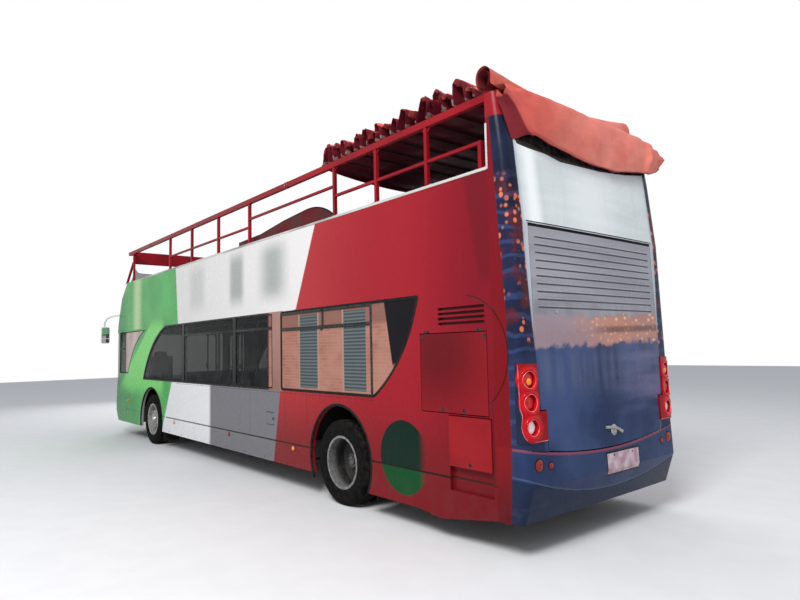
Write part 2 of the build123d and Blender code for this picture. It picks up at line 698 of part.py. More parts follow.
UPPER_ROWS = 12
UPPER_FIRST_X = -5320
UPPER_BACK = 900
with BuildPart() as seats_upper:
    for row in range(UPPER_ROWS):
        seat_x = UPPER_FIRST_X + row * SEAT_PITCH
        for side in (1, -1):
            beside_well = side > 0 and WELL["x"][0] - SEAT_PITCH < seat_x < GUARD_FRONT_X + SEAT_BACK_RAKE
            if not beside_well:
                seat_pair(seat_x, side, UPPER_FLOOR_Z, UPPER_BACK)
seats_upper.part.label = "seats_upper"
export_step(seats_upper.part, "parts/seats_upper.step")

LOWER_BACK = 1000
LOWER_SEATS = {1: [-500, 300, 1060, 1820], -1: [-1900, 560, 1320, 1980]}
REAR_SEAT_X = -4180
with BuildPart() as seats_lower:
    for side, places in LOWER_SEATS.items():
        for seat_x in places:
            seat_pair(seat_x, side, LOW_FLOOR_Z[1], LOWER_BACK)
        seat_pair(REAR_SEAT_X, side, HIGH_FLOOR_Z[1], LOWER_BACK)
seats_lower.part.label = "seats_lower"
export_step(seats_lower.part, "parts/seats_lower.step")

# Driver's place: a platform, a seat, a dashboard and the steering wheel on its column
PLATFORM_TOP_Z = 620
DRIVER_Y = (380, 1120)
DRIVER_SEAT_X = 4380
DASH_X = (5200, 5420)
DASH_TOP_Z = 1180
WHEEL_HUB = (4990, 700, 1290)
HAND_WHEEL_R = 225
with BuildPart() as driver_station:
    block((4150, 5420), DRIVER_Y, (LOW_FLOOR_Z[1], PLATFORM_TOP_Z))
    block((DASH_X[0], DASH_X[1]), DRIVER_Y, (PLATFORM_TOP_Z, DASH_TOP_Z))
    block((DRIVER_SEAT_X, DRIVER_SEAT_X + 480), (470, 930), (PLATFORM_TOP_Z, PLATFORM_TOP_Z + 430))
    block((DRIVER_SEAT_X - 110, DRIVER_SEAT_X + 10), (470, 930), (PLATFORM_TOP_Z + 330, PLATFORM_TOP_Z + 1080))
    with BuildSketch(Plane(origin=WHEEL_HUB, z_dir=(0.75, 0, -1))):
        Circle(40)
    extrude(amount=420)
    with BuildSketch(Plane(origin=WHEEL_HUB, z_dir=(0.75, 0, -1))):
        Circle(HAND_WHEEL_R)
        Circle(HAND_WHEEL_R - 28, mode=Mode.SUBTRACT)
        Rectangle(2 * HAND_WHEEL_R - 20, 45)
    extrude(amount=28)
driver_station.part.label = "driver_station"
export_step(driver_station.part, "parts/driver_station.step")

# Grab poles of the lower deck. Columns: X, Y.
POLE_R = 17
POLE_Y = 240
POLES = [
    (4080, -POLE_Y),
    (2350, POLE_Y),
    (2350, -POLE_Y),
    (700, POLE_Y),
    (400, -480),
    (-1000, -480),
    (-780, POLE_Y),
    (-2200, -POLE_Y),
]
with BuildPart() as grab_poles:
    for pole_x, pole_y in POLES:
        pillar(pole_x, pole_y, (LOW_FLOOR_Z[1], DECK_Z), POLE_R)
grab_poles.part.label = "grab_poles"
export_step(grab_poles.part, "parts/grab_poles.step")

# Roof frame: two long rails on posts, hand bars between the posts and a deep header at the front
RAIL_Y = (1190, 1240)
RAIL_H = 70
RAIL_X = (TAIL_ROOT_X, 4880)
POST_HALF = 20
POST_Y = (1195, 1235)
POSTS = [4560, 2320, 1240, 110, -1000, -3240, -4050, -4860]
SHORT_POST_X = -5570
HAND_BAR_Z = 3580
HIGH_BAR_Z = 3700
BAR_HALF = 15
BAR_Y = (1200, 1230)
RAIL_LOW_Z = RAIL_TOP_Z - RAIL_H

with BuildPart() as roof_rails:
    for side in (1, -1):
        block(RAIL_X, side_span(side, *RAIL_Y), (RAIL_LOW_Z, RAIL_TOP_Z))
        bar_posts = [SHORT_POST_X] + sorted(POSTS)
        for rear_post, front_post in zip(bar_posts[:-2], bar_posts[1:-1]):
            bar_z = HIGH_BAR_Z if rear_post == -3240 else HAND_BAR_Z
            block(
                (rear_post + POST_HALF, front_post - POST_HALF),
                side_span(side, *BAR_Y),
                (bar_z - BAR_HALF, bar_z + BAR_HALF),
            )
roof_rails.part.label = "roof_rails"
export_step(roof_rails.part, "parts/roof_rails.step")

with BuildPart() as roof_posts:
    for side in (1, -1):
        for post_x in POSTS:
            block((post_x - POST_HALF, post_x + POST_HALF), side_span(side, *POST_Y), (PARAPET_Z, RAIL_LOW_Z))
        block(
            (SHORT_POST_X - POST_HALF, SHORT_POST_X + POST_HALF),
            side_span(side, *POST_Y),
            (PARAPET_Z, HAND_BAR_Z + BAR_HALF),
        )
roof_posts.part.label = "roof_posts"
export_step(roof_posts.part, "parts/roof_posts.step")

# Header over the upper windscreen: a beam, a thin panel, two cross tubes and crossed braces, on slanted pillars
HEADER_X = (4700, 4860)
HEADER_Y = RAIL_Y[0]
HEADER_TUBES = [(4722, 3752, 24), (4745, 3850, 14)]
PANEL_X = (4700, 4708)
BRACE_R = 9
BRACE_X = 4770
BRACE_Y = 60
PILLAR_R = 26
PILLAR_Y = 1185
PILLAR_FOOT = (5195, 3310)
PILLAR_HEAD = (4715, 3752)
with BuildPart() as roof_header:
    block(HEADER_X, (-HEADER_Y, HEADER_Y), (RAIL_LOW_Z, RAIL_TOP_Z))
    block(PANEL_X, (-HEADER_Y, HEADER_Y), (HEADER_TUBES[0][1], RAIL_LOW_Z))
    for tube_x, tube_z, tube_r in HEADER_TUBES:
        cross_tube(tube_x, tube_z, (-HEADER_Y, HEADER_Y), tube_r)
    for side in (1, -1):
        brace_foot = (HEADER_TUBES[0][0], side * (HEADER_Y - BRACE_Y), HEADER_TUBES[0][1])
        rod(brace_foot, (BRACE_X, -side * BRACE_Y, RAIL_LOW_Z + BRACE_R), BRACE_R)
        rod(
            (PILLAR_FOOT[0], side * PILLAR_Y, PILLAR_FOOT[1]),
            (PILLAR_HEAD[0], side * PILLAR_Y, PILLAR_HEAD[1]),
            PILLAR_R,
        )
    block((HEADER_X[0], FAR_X), ALL_Y, (DECK_Z, PARAPET_Z), Mode.SUBTRACT)
roof_header.part.label = "roof_header"
export_step(roof_header.part, "parts/roof_header.step")

# Fabric roof pushed back over the rear: folds that stand on the rails, and the rolled end with its hanging flap
CANOPY_FRONT_X = -3000
CANOPY_REAR_X = -5540
FOLDS = 16
FOLD_VALLEY_Z = 4060
SOFT_GAP = 0.5
CANOPY_Y = 1245
FOLD_PITCH = (CANOPY_FRONT_X - CANOPY_REAR_X) / FOLDS
FOLD_TOP_HALF = FOLD_PITCH * 0.34
FOLD_SHOULDER_Z = 4225
CEILING = {"y": 1180, "z": 3945}
FRONT_DIP = {"x": 60, "side_z": 3960, "middle_z": 3880}
CANOPY_LOW_Z = RAIL_TOP_Z + SOFT_GAP
with BuildPart() as canopy_bunch:
    with BuildSketch(side_plane(1, CANOPY_Y)):
        with BuildLine():
            valley = (CANOPY_REAR_X, FOLD_VALLEY_Z)
            for fold in range(FOLDS):
                middle_x = CANOPY_REAR_X + (fold + 0.5) * FOLD_PITCH
                next_valley = (middle_x + FOLD_PITCH / 2, FOLD_VALLEY_Z)
                Polyline(
                    valley,
                    (middle_x - FOLD_TOP_HALF, FOLD_SHOULDER_Z),
                    (middle_x, CANOPY_TOP_Z),
                    (middle_x + FOLD_TOP_HALF, FOLD_SHOULDER_Z),
                    next_valley,
                )
                valley = next_valley
            Polyline(
                valley,
                (CANOPY_FRONT_X, CANOPY_LOW_Z),
                (CANOPY_REAR_X, CANOPY_LOW_Z),
                (CANOPY_REAR_X, FOLD_VALLEY_Z),
            )
        make_face()
    extrude(amount=2 * CANOPY_Y)
    block(
        (CANOPY_REAR_X, CANOPY_FRONT_X),
        (-CEILING["y"], CEILING["y"]),
        (CEILING["z"], FOLD_VALLEY_Z),
    )
    with BuildSketch(Plane.YZ.offset(CANOPY_FRONT_X - FRONT_DIP["x"])) as front_edge:
        with BuildLine():
            Polyline(
                (CEILING["y"], FRONT_DIP["side_z"]),
                (CEILING["y"], FOLD_VALLEY_Z),
                (-CEILING["y"], FOLD_VALLEY_Z),
                (-CEILING["y"], FRONT_DIP["side_z"]),
            )
            ThreePointArc(
                (-CEILING["y"], FRONT_DIP["side_z"]),
                (0, FRONT_DIP["middle_z"]),
                (CEILING["y"], FRONT_DIP["side_z"]),
            )
        make_face()
    extrude(front_edge.sketch, amount=FRONT_DIP["x"])
canopy_bunch.part.label = "canopy_bunch"
export_step(canopy_bunch.part, "parts/canopy_bunch.step")

# The roll lies across the rails' rear ends. Its flap hangs behind with a slanting hem. Columns of the hem: Y, Z.
ROLL_R = 125
ROLL_X = -5670
FLAP_REACH_X = -5995
CLOTH_T = 25
FLAP_Y = (-1390, 1260)
HEM = [(1260, 3880), (1120, 3730), (910, 3650), (410, 3570), (-860, 3570), (-1390, 3760)]
HEM_CUT_X = -5900
with BuildPart() as canopy_roll:
    cross_tube(ROLL_X, CANOPY_LOW_Z + ROLL_R, (-CANOPY_Y, CANOPY_Y), ROLL_R)
    with BuildSketch(side_plane(1, FLAP_Y[1])):
        with BuildLine():
            Polyline(
                (ROLL_X, CANOPY_TOP_Z - 30),
                (ROLL_X - 60, CANOPY_TOP_Z - 20),
                (FLAP_REACH_X + 90, CANOPY_TOP_Z - 120),
                (FLAP_REACH_X, CANOPY_TOP_Z - 325),
                (FLAP_REACH_X, HEM[3][1] - CLOTH_T),
                (FLAP_REACH_X + CLOTH_T, HEM[3][1] - CLOTH_T),
                (FLAP_REACH_X + CLOTH_T, CANOPY_TOP_Z - 330),
                (FLAP_REACH_X + 105, CANOPY_TOP_Z - 150),
                (ROLL_X - 60, CANOPY_TOP_Z - 55),
                (ROLL_X, CANOPY_TOP_Z - 60),
                close=True,
            )
        make_face()
    extrude(amount=FLAP_Y[1] - FLAP_Y[0])
    with BuildSketch(Plane.YZ.offset(-FAR_X)) as below_hem:
        with BuildLine():
            Polyline(
                (2 * FLAP_Y[1], HEM[0][1]),
                *HEM,
                (2 * FLAP_Y[0], HEM[-1][1]),
                (2 * FLAP_Y[0], DECK_Z),
                (2 * FLAP_Y[1], DECK_Z),
                close=True,
            )
        make_face()
    extrude(below_hem.sketch, amount=FAR_X + HEM_CUT_X, mode=Mode.SUBTRACT)
canopy_roll.part.label = "canopy_roll"
export_step(canopy_roll.part, "parts/canopy_roll.step")

# Mirrors on bent arms at the front corners
with BuildPart() as mirrors:
    for side in (1, -1):
        with BuildLine():
            FilletPolyline(
                (5600, side * 1190, 2640),
                (5720, side * 1400, 2600),
                (5830, side * 1480, 2450),
                (5830, side * 1480, 2330),
                radius=60,
            )
        with BuildSketch(Plane(origin=(5600, side * 1190, 2640), z_dir=(120, side * 210, -40))):
            Circle(22)
        sweep()
        block((5790, 5870), side_span(side, 1370, 1560), (2010, 2390))
    add(nose_outer, mode=Mode.SUBTRACT)
mirrors.part.label = "mirrors"
export_step(mirrors.part, "parts/mirrors.step")

# Chassis: low rails under the front floor, high rails over the rear axle and a tow lug at the nose
LOW_RAIL_Z = (300, 380)
HIGH_RAIL_Z = (630, 710)
RAIL_HALF = 40
LOW_RAIL_Y = (410, 490)
HIGH_RAIL_Y = (510, 590)
CHASSIS_X = (-5640, 5400)
UPRIGHT_X = (FLOOR_STEP_X - HOUSING_T - 80, FLOOR_STEP_X - HOUSING_T)
TOW_EYE_X = 5720
TOW_EYE_R = 22
TOW_LUG = {"x": (5340, 5790), "y": (-50, 50), "z": (264, 300)}
with BuildPart() as chassis_rails:
    for side in (1, -1):
        block((UPRIGHT_X[1], CHASSIS_X[1]), side_span(side, *LOW_RAIL_Y), LOW_RAIL_Z)
        block((CHASSIS_X[0], UPRIGHT_X[1]), side_span(side, *HIGH_RAIL_Y), HIGH_RAIL_Z)
    block(TOW_LUG["x"], TOW_LUG["y"], TOW_LUG["z"])
    pillar(TOW_EYE_X, 0, (TOW_LUG["z"][0], TOW_LUG["z"][1]), TOW_EYE_R, Mode.SUBTRACT)
chassis_rails.part.label = "chassis_rails"
export_step(chassis_rails.part, "parts/chassis_rails.step")

# Cross members between the rails, outriggers from the rails to the walls, and the step from high to low rails
CROSS_PITCH = 1100
CROSS_T = 60
LOW_CROSSES = [FLOOR_STEP_X + 200 + cross * CROSS_PITCH for cross in range(7)] + [CHASSIS_X[1] - CROSS_T]
HIGH_CROSSES = [-2500, -4200, CHASSIS_X[0]]
with BuildPart() as cross_members:
    for places, rail_y, heights in ((LOW_CROSSES, LOW_RAIL_Y, LOW_RAIL_Z), (HIGH_CROSSES, HIGH_RAIL_Y, HIGH_RAIL_Z)):
        for cross_x in places:
            block((cross_x, cross_x + CROSS_T), (-rail_y[0], rail_y[0]), heights)
            for side in (1, -1):
                block((cross_x, cross_x + CROSS_T), side_span(side, rail_y[1], INNER_Y), heights)
    for side in (1, -1):
        block(UPRIGHT_X, side_span(side, LOW_RAIL_Y[0], HIGH_RAIL_Y[1]), (LOW_RAIL_Z[0], HIGH_RAIL_Z[0]))
    for axle_x in (FRONT_AXLE_X, REAR_AXLE_X):
        for side in (1, -1):
            block(
                (axle_x - HOUSING_HALF, axle_x + HOUSING_HALF),
                side_span(side, HOUSING_INNER_Y, HALF_WIDTH),
                (0, HOUSING_TOP_Z),
                Mode.SUBTRACT,
            )
cross_members.part.label = "cross_members"
export_step(cross_members.part, "parts/cross_members.step")

ENGINE = {"x": (-5560, -4420), "y": (-400, 400), "z": (420, 1480)}
RADIATOR = {"x": (-5540, -4780), "y": (940, 1080), "z": (760, 1820)}
with BuildPart() as engine_block:
    block(ENGINE["x"], ENGINE["y"], ENGINE["z"])
    block(RADIATOR["x"], RADIATOR["y"], RADIATOR["z"])
engine_block.part.label = "engine_block"
export_step(engine_block.part, "parts/engine_block.step")

# Front axle: a dropped beam with an eye for the kingpin at each end
FIST_HALF = 45
FIST_Z = (TYRE_R - 60, TYRE_R + 60)
KINGPIN_R = 25
BEAM_HALF = 50
BEAM_LOW_Z = 195
BEAM_NECK_Y = KINGPIN_Y - FIST_HALF - 12
BEAM_H = 85
with BuildPart() as front_axle:
    with BuildSketch(Plane.YZ.offset(FRONT_AXLE_X - BEAM_HALF)):
        with BuildLine():
            Polyline(
                (-KINGPIN_Y + FIST_HALF, FIST_Z[1]),
                (-KINGPIN_Y, FIST_Z[1]),
                (-KINGPIN_Y, FIST_Z[0]),
                (-BEAM_NECK_Y, FIST_Z[0]),
                (-640, BEAM_LOW_Z),
                (640, BEAM_LOW_Z),
                (BEAM_NECK_Y, FIST_Z[0]),
                (KINGPIN_Y, FIST_Z[0]),
                (KINGPIN_Y, FIST_Z[1]),
                (KINGPIN_Y - FIST_HALF, FIST_Z[1]),
                (620, BEAM_LOW_Z + BEAM_H),
                (-620, BEAM_LOW_Z + BEAM_H),
                close=True,
            )
        make_face()
    extrude(amount=2 * BEAM_HALF)
    for side in (1, -1):
        pillar(FRONT_AXLE_X, side * KINGPIN_Y, FIST_Z, FIST_HALF)
    for side in (1, -1):
        pillar(FRONT_AXLE_X, side * KINGPIN_Y, FIST_Z, KINGPIN_R + FIT, Mode.SUBTRACT)
front_axle.part.label = "front_axle"
export_step(front_axle.part, "parts/front_axle.step")

# Knuckles: two ears and the kingpin, an upright outboard of the eye and the stub axle
EAR_T = 30
EAR_GAP = 2
SPINDLE_R = 45
SPINDLE_END_Y = 1175
UPRIGHT_Y = (KINGPIN_Y + FIST_HALF + 8, KINGPIN_Y + FIST_HALF + 38)
for name, side in (("left", 1), ("right", -1)):
    with BuildPart() as knuckle:
        pillar(FRONT_AXLE_X, side * KINGPIN_Y, (FIST_Z[0] - EAR_T, FIST_Z[1] + EAR_T), KINGPIN_R)
        for ear_z in (
            (FIST_Z[0] - EAR_GAP - EAR_T, FIST_Z[0] - EAR_GAP),
            (FIST_Z[1] + EAR_GAP, FIST_Z[1] + EAR_GAP + EAR_T),
        ):
            pillar(FRONT_AXLE_X, side * KINGPIN_Y, ear_z, FIST_HALF)
            block(
                (FRONT_AXLE_X - FIST_HALF, FRONT_AXLE_X + FIST_HALF),
                side_span(side, KINGPIN_Y, UPRIGHT_Y[1]),
                ear_z,
            )
        block(
            (FRONT_AXLE_X - FIST_HALF, FRONT_AXLE_X + FIST_HALF),
            side_span(side, *UPRIGHT_Y),
            (FIST_Z[0] - EAR_GAP - EAR_T, FIST_Z[1] + EAR_GAP + EAR_T),
        )
        cross_tube(FRONT_AXLE_X, TYRE_R, side_span(side, UPRIGHT_Y[0], SPINDLE_END_Y), SPINDLE_R)
    knuckle.part.label = f"knuckle_{name}"
    export_step(knuckle.part, f"parts/knuckle_{name}.step")

AXLE_TUBE_R = 90
DIFF_R = 200
REAR_STUB_R = 70
REAR_STUB_Y = 925
with BuildPart() as rear_axle:
    cross_tube(REAR_AXLE_X, TYRE_R, (-620, 620), AXLE_TUBE_R)
    cross_tube(REAR_AXLE_X, TYRE_R, (-REAR_STUB_Y, REAR_STUB_Y), REAR_STUB_R)
    with Locations((REAR_AXLE_X, 0, TYRE_R)):
        Sphere(DIFF_R)
rear_axle.part.label = "rear_axle"
export_step(rear_axle.part, "parts/rear_axle.step")

# Wheels. A tyre's section is drawn from its middle plane. Columns: distance from the middle, radius.
TYRE_SECTION = [(0.38, RIM_R), (0.5, 350), (0.5, 410), (0.43, 465), (0.38, TYRE_R)]
RIM_HALF = 112
RIM_T = 14
BEAD_GRIP = 2
RIM_DISC_T = 14


def wheel_plane(x):
    return Plane.YZ.offset(x)


def ring(x, points):
    """Body of revolution about the wheel axis at x; points are (Y, radius)."""
    with BuildSketch(wheel_plane(x)) as section:
        with BuildLine():
            Polyline(*[(y, TYRE_R + radius) for y, radius in points], close=True)
        make_face()
    revolve(section.sketch, axis=Axis((x, 0, TYRE_R), (0, 1, 0)))


def tyre(x, y):
    half = [(share * TYRE_W, radius) for share, radius in TYRE_SECTION]
    right = [(y - offset, radius) for offset, radius in half]
    left = [(y + offset, radius) for offset, radius in reversed(half)]
    ring(x, right + left)


def barrel(x, y):
    """Rim barrel with its two flanges, centred at y."""
    outer = RIM_R + BEAD_GRIP
    flange = RIM_R + 14
    ring(
        x,
        [
            (y - RIM_HALF - 12, outer - RIM_T),
            (y + RIM_HALF + 12, outer - RIM_T),
            (y + RIM_HALF + 12, flange),
            (y + RIM_HALF, flange),
            (y + RIM_HALF, outer),
            (y - RIM_HALF, outer),
            (y - RIM_HALF, flange),
            (y - RIM_HALF - 12, flange),
        ],
    )


HAND_HOLES = 10
HAND_HOLE_R = 26
HAND_HOLE_PITCH_R = 205
FRONT_DISC_Y = 1150
TWIN_DISC_Y = 935
HUB_R = 140


def hand_holes(x, y_range):
    for hole in range(HAND_HOLES):
        angle = math.radians(360 / HAND_HOLES * hole)
        hole_x = x + HAND_HOLE_PITCH_R * math.cos(angle)
        hole_z = TYRE_R + HAND_HOLE_PITCH_R * math.sin(angle)
        cross_tube(hole_x, hole_z, y_range, HAND_HOLE_R, Mode.SUBTRACT)


for name, side in (("left", 1), ("right", -1)):
    with BuildPart() as front_tyre:
        tyre(FRONT_AXLE_X, side * WHEEL_Y)
    front_tyre.part.label = f"tyre_front_{name}"
    export_step(front_tyre.part, f"parts/tyre_front_{name}.step")

    with BuildPart() as rear_tyres:
        tyre(REAR_AXLE_X, side * WHEEL_Y)
        tyre(REAR_AXLE_X, side * TWIN_Y)
    rear_tyres.part.label = f"tyres_rear_{name}"
    export_step(rear_tyres.part, f"parts/tyres_rear_{name}.step")

    with BuildPart() as front_rim:
        barrel(FRONT_AXLE_X, side * WHEEL_Y)
        bore = SPINDLE_R + FIT
        ring(
            FRONT_AXLE_X,
            [
                (side * (FRONT_DISC_Y + 36), bore),
                (side * (FRONT_DISC_Y + 36), HUB_R),
                (side * FRONT_DISC_Y, HUB_R + 50),
                (side * (FRONT_DISC_Y - 30), RIM_R - 8),
                (side * (FRONT_DISC_Y - 30 - RIM_DISC_T), RIM_R - 8),
                (side * (FRONT_DISC_Y - RIM_DISC_T), HUB_R + 40),
                (side * (FRONT_DISC_Y + 36 - RIM_DISC_T), HUB_R - 10),
                (side * (FRONT_DISC_Y - 70), HUB_R - 20),
                (side * (FRONT_DISC_Y - 70), bore),
            ],
        )
        hand_holes(FRONT_AXLE_X, side_span(side, FRONT_DISC_Y - 60, FRONT_DISC_Y + 20))
    front_rim.part.label = f"rim_front_{name}"
    export_step(front_rim.part, f"parts/rim_front_{name}.step")

    with BuildPart() as rear_rims:
        barrel(REAR_AXLE_X, side * WHEEL_Y)
        barrel(REAR_AXLE_X, side * TWIN_Y)
        bore = REAR_STUB_R + FIT
        ring(
            REAR_AXLE_X,
            [
                (side * (TWIN_DISC_Y + RIM_DISC_T), bore + 60),
                (side * (TWIN_DISC_Y + RIM_DISC_T), HUB_R + 40),
                (side * (TWIN_DISC_Y + 60), RIM_R - 8),
                (side * (TWIN_DISC_Y + 60 - RIM_DISC_T), RIM_R - 8),
                (side * TWIN_DISC_Y, HUB_R + 45),
                (side * (TWIN_DISC_Y - 60 + RIM_DISC_T), RIM_R - 8),
                (side * (TWIN_DISC_Y - 60), RIM_R - 8),
                (side * (TWIN_DISC_Y - RIM_DISC_T), HUB_R + 40),
                (side * (TWIN_DISC_Y - RIM_DISC_T), bore + 60),
            ],
        )
        hub = [
            (side * (TWIN_DISC_Y - 130), bore),
            (side * (TWIN_DISC_Y - 5), bore),
            (side * (TWIN_DISC_Y - 5), 0),
            (side * (TWIN_DISC_Y + 120), 0),
            (side * (TWIN_DISC_Y + 120), HUB_R - 50),
            (side * (TWIN_DISC_Y + RIM_DISC_T), HUB_R - 5),
            (side * (TWIN_DISC_Y - 130), HUB_R - 5),
        ]
        ring(REAR_AXLE_X, hub)
    rear_rims.part.label = f"rims_rear_{name}"
    export_step(rear_rims.part, f"parts/rims_rear_{name}.step")
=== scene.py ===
import itertools
import math
import random

import bmesh
import bpy
from mathutils import Matrix, Vector, noise
from mathutils.geometry import tessellate_polygon


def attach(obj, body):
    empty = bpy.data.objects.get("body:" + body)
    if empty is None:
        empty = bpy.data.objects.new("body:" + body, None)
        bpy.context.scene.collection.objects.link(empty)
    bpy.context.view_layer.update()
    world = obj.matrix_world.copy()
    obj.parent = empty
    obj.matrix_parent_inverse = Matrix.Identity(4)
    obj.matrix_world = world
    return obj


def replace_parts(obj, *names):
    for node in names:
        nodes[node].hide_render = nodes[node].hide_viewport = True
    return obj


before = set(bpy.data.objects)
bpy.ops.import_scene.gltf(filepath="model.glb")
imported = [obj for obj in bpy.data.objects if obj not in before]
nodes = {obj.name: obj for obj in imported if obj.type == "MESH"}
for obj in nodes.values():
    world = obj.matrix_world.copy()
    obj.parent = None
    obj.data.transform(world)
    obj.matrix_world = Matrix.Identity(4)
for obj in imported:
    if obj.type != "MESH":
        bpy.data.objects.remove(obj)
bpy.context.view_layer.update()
random.seed(7)


# Chassis, axles and engine.
# Welded box rails, forged axle beams and folded wheel boxes, painted black on assembly, and a cast engine.
# Dried road dust lies on them, thickest on upward faces.
ROAD_DUST = (0.075, 0.064, 0.052)
CHASSIS_BLACK = (0.012, 0.012, 0.013)


def shade(tree, kind, out=0, settings=(), **inputs):
    """Adds a shader node and gives its output; n0, n1 and so on name its inputs by number."""
    made = tree.nodes.new("ShaderNode" + kind)
    for key, value in dict(settings).items():
        setattr(made, key, value)
    for key, value in inputs.items():
        place = made.inputs[int(key[1:])] if key[1:].isdigit() else made.inputs[key.replace("_", " ")]
        if isinstance(value, Value):
            tree.links.new(value.socket, place)
        else:
            place.default_value = (*value, 1) if place.type == "RGBA" else value
    return Value(made.outputs[out])


class Value:
    """A number, place or colour that varies over a surface; sums and products of it are Math nodes."""

    def __init__(self, socket):
        self.socket = socket

    def node(self, kind, **details):
        """Adds a node to the same material."""
        return shade(self.socket.id_data, kind, **details)

    def axis(self, name):
        return self.node("SeparateXYZ", out=name, Vector=self)

    def axes(self, names):
        return [self.axis(name) for name in names]

    def __add__(self, other):
        return calc("ADD", self, other)

    def __sub__(self, other):
        return calc("SUBTRACT", self, other)

    def __rsub__(self, other):
        return calc("SUBTRACT", other, self)

    def __mul__(self, other):
        return calc("MULTIPLY", self, other)

    def __truediv__(self, other):
        return calc("DIVIDE", self, other)

    def __abs__(self):
        return calc("ABSOLUTE", self)


def calc(operation, first, second=0.0):
    made_by = first if isinstance(first, Value) else second
    return made_by.node("Math", settings={"operation": operation}, n0=first, n1=second)


def grade(value, low, high):
    """0 at low and 1 at high, smooth between; low may be the larger."""
    if low > high:
        return 1.0 - grade(value, high, low)
    way = {"interpolation_type": "SMOOTHSTEP"}
    return value.node("MapRange", settings=way, Value=value, From_Min=low, From_Max=high)


def tint(factor, first, second):
    """Mix of two colours."""
    return factor.node("Mix", out=2, settings={"data_type": "RGBA"}, n0=factor, n6=first, n7=second)


def grain(where, scale, detail=4.0, stretch=(1, 1, 1), low=0.35, high=0.65):
    """Noise from 0 to 1 with its cells stretched by the given factors."""
    spread = where.node("Mapping", Vector=where, Scale=[scale / part for part in stretch])
    return grade(where.node("TexNoise", out="Fac", Vector=spread, Scale=1.0, Detail=detail), low, high)


def relief(height, depth):
    """Bump from a height of 0 to 1 that stands depth metres high."""
    return height.node("Bump", out="Normal", Height=height, Distance=depth, Strength=1.0)


def finish(name, build, **constants):
    """Material from a function of the place that gives colour, roughness, relief and alpha in this order."""
    material = bpy.data.materials.new(name)
    material.use_nodes = True
    tree = material.node_tree
    shader = tree.nodes["Principled BSDF"]
    for key, value in constants.items():
        shader.inputs[key.replace("_", " ")].default_value = value
    looks = build(shade(tree, "TexCoord", out="Object"))
    for key, value in zip(("Base Color", "Roughness", "Normal", "Alpha"), looks):
        tree.links.new(value.socket, shader.inputs[key])
    return material


def coat(material, *names):
    """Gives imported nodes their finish."""
    for name in names:
        for place in nodes[name].material_slots:
            place.material = material


def painted_steel(where):
    upward = where.node("NewGeometry", out="Normal").axis("Z")
    patches = grain(where, 6.0, detail=8.0)
    dust = grade(upward, -0.4, 0.9) * (patches + 0.35)
    streaks = grain(where, 30.0, stretch=(1, 1, 6))
    film = calc("MINIMUM", dust + streaks * 0.25, 0.85)
    return (
        tint(film, CHASSIS_BLACK, ROAD_DUST),
        grade(film, -0.9, 0.6),
        relief(grain(where, 90.0, detail=6.0), 0.0012),
    )


CHASSIS_PAINT = finish("chassis_paint", painted_steel, Specular_IOR_Level=0.12)
coat(
    CHASSIS_PAINT, "chassis_rails", "cross_members", "front_axle", "knuckle_left", "knuckle_right", "rear_axle",
    "wheel_housings",
)


def cast_iron(where):
    rust = grain(where, 9.0, detail=10.0, low=0.45, high=0.7)
    return (
        tint(rust, (0.05, 0.052, 0.055), (0.13, 0.07, 0.04)),
        grade(rust, -1.2, 1.4),
        relief(grain(where, 55.0, detail=8.0), 0.004),
    )


coat(finish("engine_iron", cast_iron, Metallic=0.35), "engine_block")


def box_in(mesh, low, high, bevel=0.0, segments=2):
    """Adds a box between two opposite corners, its edges rounded."""
    made = bmesh.ops.create_cube(mesh, size=1.0)["verts"]
    for vertex in made:
        for i, ends in enumerate(zip(low, high)):
            vertex.co[i] = min(ends) + (vertex.co[i] + 0.5) * (max(ends) - min(ends))
    if bevel:
        edges = list(dict.fromkeys(edge for vertex in made for edge in vertex.link_edges))
        bmesh.ops.bevel(mesh, geom=edges, offset=bevel, segments=segments, profile=0.5, affect="EDGES")


def ring_points(centre, along, radius, sides, turn=0.0):
    """Points of a circle about an axis."""
    along = Vector(along).normalized()
    across = along.orthogonal().normalized()
    up = along.cross(across)
    angles = [turn + 2 * math.pi * side / sides for side in range(sides)]
    return [Vector(centre) + radius * (math.cos(a) * across + math.sin(a) * up) for a in angles]


def skin_rings(mesh, rings, capped=True, closed=False):
    """Joins rings of as many points each into a skin."""
    rows = [[mesh.verts.new(point) for point in ring] for ring in rings]
    count = len(rows[0])
    pairs = list(zip(rows[:-1], rows[1:])) + ([(rows[-1], rows[0])] if closed else [])
    for first, second in pairs:
        for i in range(count):
            j = (i + 1) % count
            mesh.faces.new((first[i], first[j], second[j], second[i]))
    if capped and not closed:
        mesh.faces.new(list(reversed(rows[0])))
        mesh.faces.new(rows[-1])


def turned_in(mesh, centre, along, profile, sides=32):
    """Adds a body turned about an axis; the profile's columns are distance along the axis and radius."""
    along = Vector(along).normalized()
    rings = [ring_points(Vector(centre) + along * far, along, radius, sides) for far, radius in profile]
    skin_rings(mesh, rings)


def tube_in(mesh, path, radius, sides=8, closed=False):
    """Adds a round tube along a path of points."""
    path = [Vector(point) for point in path]
    around = [path[-1], *path, path[0]] if closed else [path[0], *path, path[-1]]
    ways = [(after - before).normalized() for before, after in zip(around, around[2:])]
    across = ways[0].orthogonal().normalized()
    rings = []
    for point, way in zip(path, ways):
        across = (across - way * across.dot(way)).normalized()
        up = way.cross(across)
        angles = [2 * math.pi * side / sides for side in range(sides)]
        rings.append([point + radius * (math.cos(a) * across + math.sin(a) * up) for a in angles])
    skin_rings(mesh, rings, closed=closed)


